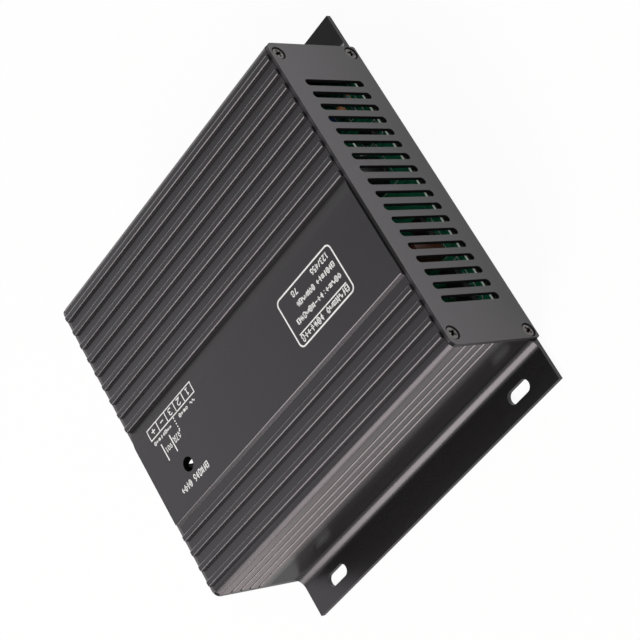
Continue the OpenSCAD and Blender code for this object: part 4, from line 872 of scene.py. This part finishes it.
panelPrint = {  # places on the label panel in mm, read along +X with +Y up
    "thickness": 0.03, "depth": 0.05, "finest": 0.6, "stroke": 0.42, "smallStroke": 0.34,
    "rampTop": 2.14, "rampRadius": 14.0,  # where the panel starts to fall, and its bend's radius
    "frame": (-57.6, 7.05, -22.5, 27.9), "frameLine": 0.64, "frameRadius": 2.2,
    "underline": (-55.5, 23.4, -24.7, 23.4), "underlineWidth": 0.5,
    "strip": (34.9, -0.17, 67.7, 4.5), "stripLine": 0.46, "dividers": (41.6, 48.0, 54.6, 60.9),
    "stripSigns": ("1", "2", "3", "minus", "plus"), "signLow": 0.75, "signHigh": 3.4, "signWidth": 2.5,
    "rules": (57.7, 63.96), "ruleLow": 8.6, "ruleHigh": 16.3, "ruleWidth": 0.6,
    "dotPath": ((51.3, 5.0), (51.3, 10.9), (57.4, 10.9)), "dotStep": 1.25, "dotLength": 0.6,
    "rows": [  # signs, left, right, low, high
        (("battery", "bolt", "wave", "diode", "fuse", "coil", "plug", None,
          "cell", "lamp", "resistor", "ground", "arrow", "plus", "8"), -55.4, -24.8, 24.0, 26.7),
        (("plug", "lamp", "wave", "fuse", "arrow", "dots", "cell", "plus", "minus",
          "diode", "lamp", "coil", "8", "resistor", "battery"), -55.3, -27.0, 18.3, 20.5),
        (("battery", "cell", "lamp", "bolt", "fuse", "ground", "arrow", None,
          "lamp", "plug", "diode", "coil", "wave", "battery", "resistor"), -55.2, -31.0, 13.3, 15.5),
        (("1", "2", "3", "slash", "4", "5", "6"), -54.7, -44.0, 8.8, 11.0),
        (("7", "8"), -34.5, -31.0, 8.8, 11.0),
        (("battery", "bolt", "diode", "8", "cell", "6", None, "lamp", "ground", "plug", "arrow"),
         46.8, 65.8, 28.5, 31.3),
    ],
    "smallRows": [
        (("wave", "wave", None, "plug", "fuse", "arrow", "lamp"), 36.7, 48.1, 5.9, 7.3),
        (("direct", "direct", "battery", "cell", "bolt", "fuse", "arrow", "lamp"), 54.4, 67.1, 5.9, 7.3),
        (("6", "7", "8"), 52.1, 56.6, 11.4, 13.2),
        (("9", "0", "1"), 58.75, 63.1, 11.4, 13.2),
    ],
}


crestHeight = highs("housing")[2] / mm


def panelHeight(y):
    # level, then down one circular arc on the side where y is smaller
    past = np.maximum(panelPrint["rampTop"] - y, 0)
    return crestHeight - panelPrint["rampRadius"] + (panelPrint["rampRadius"] ** 2 - past ** 2) ** 0.5


def roundedFrame(left, low, right, high, radius):
    # four quarter circles, joined by straight sides
    middles = [(right - radius, high - radius), (left + radius, high - radius),
               (left + radius, low + radius), (right - radius, low + radius)]
    corners = [arc(x, y, radius, radius, 90 * i, 90 * i + 90, 9) for i, (x, y) in enumerate(middles)]
    return track(*corners, corners[0][0])


def dottedPath(corners, step, length):
    # dots lie at even steps along each leg of the path
    dots = []
    for start, end in zip(corners, corners[1:]):
        start, end = np.array(start), np.array(end)
        reach = np.linalg.norm(end - start)
        along = (end - start) / reach
        for at in np.arange(0, reach - length / 2, step):
            dots.append(track(start + along * at, start + along * (at + length)))
    return dots


def makePanelPrint(look):
    rows = [line for row in look["rows"] for line in placedSigns(*row)]
    small = [line for row in look["smallRows"] for line in placedSigns(*row)]
    rating = [line for line in rows if line[:, 0].max() < 0]
    caption = [line for line in rows if line[:, 0].min() > 0]
    inkMarks("ratingPrint", [(look["stroke"], rating),
                             (look["frameLine"], [roundedFrame(*look["frame"], look["frameRadius"])]),
                             (look["underlineWidth"], strokes(look["underline"]))], panelHeight, look)
    inkMarks("lampPrint", [(look["stroke"], caption)], panelHeight, look)
    left, low, right, high = look["strip"]
    # the middle point keeps each divider on the panel where the ramp starts
    dividers = [track((x, low), (x, (low + high) / 2), (x, high)) for x in look["dividers"]]
    edges = [left, *look["dividers"], right]
    inner = []
    for name, start, end in zip(look["stripSigns"], edges, edges[1:]):
        middleX = (start + end) / 2
        inner += placedSigns([name], middleX - look["signWidth"] / 2, middleX + look["signWidth"] / 2,
                             look["signLow"], look["signHigh"], 1.0)
    rules = strokes(*[(x, look["ruleLow"], x, look["ruleHigh"]) for x in look["rules"]])
    dots = dottedPath(look["dotPath"], look["dotStep"], look["dotLength"])
    inkMarks("terminalPrint", [(look["stripLine"], [boxTrack(*look["strip"]), *dividers]),
                               (look["stroke"], inner), (look["smallStroke"], small),
                               (look["ruleWidth"], rules), (look["dotLength"], dots)], panelHeight, look)


makePanelPrint(panelPrint)

boardPrint = {
    "thickness": 0.02, "depth": 0.04, "finest": 4.0, "stroke": 0.3, "margin": 0.7,
    "signGap": 1.4, "signWidth": 2.6, "signHeight": 1.6,
    "outlined": ("timer_chip", "control_chip", "optocoupler", "film_capacitor", "supply_capacitor",
                 "ceramic_capacitor", "sense_resistor", "trimmer_body", "line_capacitor",
                 "inrush_thermistor", "surge_varistor", "smoothing_capacitor"),
    "numbered": ("timer_chip", "control_chip", "optocoupler", "film_capacitor"),
}


def outlineOf(nodeName, margin):
    left, low = [place / mm - margin for place in lows(nodeName)[:2]]
    right, high = [place / mm + margin for place in highs(nodeName)[:2]]
    return boxTrack(left, low, right, high)


def makeBoardPrint(look):
    # an outline round each small part that stands on the board, and figures beside some of them
    marks = [outlineOf(name, look["margin"]) for name in look["outlined"]]
    for name in look["numbered"]:
        side, low = highs(name)[0] / mm + look["signGap"], middle(name)[1] / mm
        marks += placedSigns(["1", "2"], side, side + look["signWidth"], low, low + look["signHeight"])
    inkMarks("boardPrint", [(look["stroke"], marks)], lambda y: y * 0 + boardTop / mm, look)


makeBoardPrint(boardPrint)
print("print made")

# screws of the end plates

screwLook = {
    "headRadius": 2.50, "rimDrop": 0.52, "round": 0.12, "dome": 0.34,
    "armHalfWidth": 0.56, "armLength": 1.66, "recessDepth": 1.9, "recessRise": 0.40, "wallSlope": 0.10,
    "shaftRadius": 1.5, "threadPitch": 0.5, "threadDepth": 0.12, "tipLength": 0.1, "tipRadius": 0.75,
    "seatRadius": 2.8, "upperInset": 5.1,  # where the heads sit in the plates
    "steps": 112, "domeSteps": 44, "rimSteps": 6, "threadSteps": 4,
    # how far each screw of a plate is turned, in degrees
    "ventTurns": (52.0, 20.0, 33.0, 71.0), "terminalTurns": (12.0, 64.0, 40.0, 25.0),
}


def screwProfile(look, length):
    # distance from the axis and distance out of the plate's face: dome, rounded rim, cone, thread, tip
    dome = np.linspace(0, 1, look["domeSteps"])
    domeR = dome * (look["headRadius"] - look["round"])
    domeW = -look["dome"] * dome ** 2
    bend = np.radians(np.linspace(90, 0, look["rimSteps"]))[1:]
    rimR = look["headRadius"] - look["round"] + look["round"] * np.cos(bend)
    rimW = -look["dome"] - look["round"] + look["round"] * np.sin(bend)
    neck = -look["rimDrop"] - (look["headRadius"] - look["shaftRadius"])
    turns = np.linspace(neck, -length, int((length + neck) / look["threadPitch"] * look["threadSteps"]))
    groove = 0.5 - 0.5 * np.cos(2 * np.pi * turns / look["threadPitch"])
    thread = look["shaftRadius"] - look["threadDepth"] * groove
    thread[0] = look["shaftRadius"]
    tip = -length - look["tipLength"]
    r = np.concatenate([domeR, rimR, [look["headRadius"]], thread, [look["tipRadius"], 0]])
    w = np.concatenate([domeW, rimW, [-look["rimDrop"]], turns, [tip, tip]])
    return r, w


def crossRecess(across, along, look):
    # steep walls at the arms' edges and ends, over a floor that rises towards the ends of the arms
    wall = np.clip((look["armHalfWidth"] - across) / look["wallSlope"], 0, 1)
    end = np.clip((look["armLength"] - along) / look["wallSlope"], 0, 1)
    return wall * end * (look["recessDepth"] - look["recessRise"] * along)


def plateScrews(nodeName, side, turns, look):
    # a surface of revolution about X whose dome sinks by the recess: height = profile - recess
    low, high = lows(nodeName), highs(nodeName)
    face = side * highs("terminal_end_plate")[0] / mm
    r, w = screwProfile(look, (high[0] - low[0]) / mm)
    angle = np.linspace(0, 2 * np.pi, look["steps"] + 1)[:-1]
    a, b = np.abs(r[:, None] * np.cos(angle)), np.abs(r[:, None] * np.sin(angle))
    onDome = (np.arange(len(r)) < look["domeSteps"])[:, None]
    height = w[:, None] - crossRecess(np.minimum(a, b), np.maximum(a, b), look) * onDome
    upperY = highs("terminal_end_plate")[1] / mm - look["upperInset"]
    upperZ, lowerZ = high[2] / mm - look["seatRadius"], low[2] / mm + look["seatRadius"]
    lowerY = high[1] / mm - look["seatRadius"]
    places = [(upperY, upperZ), (-upperY, upperZ), (lowerY, lowerZ), (-lowerY, lowerZ)]
    points, faces = [], []
    for i, ((centreY, centreZ), turn) in enumerate(zip(places, turns)):
        theta = angle + math.radians(turn)
        y = centreY + side * r[:, None] * np.cos(theta)
        z = centreZ + r[:, None] * np.sin(theta)
        points.append(np.stack([face + side * height, y, z], -1).reshape(-1, 3))
        faces.append(gridFaces(len(r), look["steps"], True, i * len(r) * look["steps"]))
    piece = meshObject(nodeName.replace("_plate_screws", "PlateScrews"), np.concatenate(points) * mm,
                       np.concatenate(faces))
    piece.data.materials.append(metals["screwBlack"])
    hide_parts(nodeName)
    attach(piece, "root")


plateScrews("vent_plate_screws", -1, screwLook["ventTurns"], screwLook)
plateScrews("terminal_plate_screws", 1, screwLook["terminalTurns"], screwLook)

lampLook = {
    "resin": (0.006, 0.005, 0.006), "shine": 0.04, "roughness": 0.12, "leadRough": 0.14,
    "cloudScale": 500.0, "cloudRough": 0.04, "leadTop": 30.0 * mm,
    # painted highlight: the white of the cup's glint and the glow it gives off
    "anvilGlint": (0.90, 0.90, 0.88), "glow": 0.55, "anvilDepth": 1.7 * mm,
    # the anvil seen from above, in mm from the lamp's axis
    "anvilBase": -1.9, "anvilTip": 0.35, "anvilHalfWidth": 1.30, "anvilShift": -0.25,
    "baseEdge": 0.25, "sideEdge": 0.2,  # widths over which the anvil's edges fade
}


def smokedLamp(look):
    # dark resin; a painted highlight, a glowing white triangle on the dome, stands for the glint of the metal
    # cup within, and the leads are bare
    finish = Finish("smokedLamp")
    x, y, z = finish.axes()
    centreX, centreY = middle("charge_lamp")[:2]
    along = (x - centreX) / mm
    across = abs((y - centreY) / mm - look["anvilShift"])
    share = (look["anvilTip"] - along) / (look["anvilTip"] - look["anvilBase"])
    # painted highlight: a white triangle near the top of the dome, beside the lamp's axis
    glintWedge = (along - look["anvilBase"]).smooth(0.0, look["baseEdge"])
    glintWedge = glintWedge * (share * look["anvilHalfWidth"] - across).smooth(0.0, look["sideEdge"])
    glintWedge = glintWedge * (z > highs("charge_lamp")[2] - look["anvilDepth"])
    lead = z < boardTop + look["leadTop"]
    cloud = finish.noise(look["cloudScale"], 2.0)
    color = finish.mix(glintWedge, look["resin"], look["anvilGlint"])
    return finish.surface(Base_Color=finish.mix(lead, color, tinned), Metallic=lead,
                          Roughness=uneven(look, cloud, lead * look["leadRough"]),
                          # painted highlight: the triangle glows white
                          Emission_Color=finish.mix(glintWedge, (0, 0, 0), (1, 1, 1)),
                          Emission_Strength=look["glow"], Specular_IOR_Level=look["shine"])


wear("charge_lamp", smokedLamp(lampLook))
print("screws and lamp made")
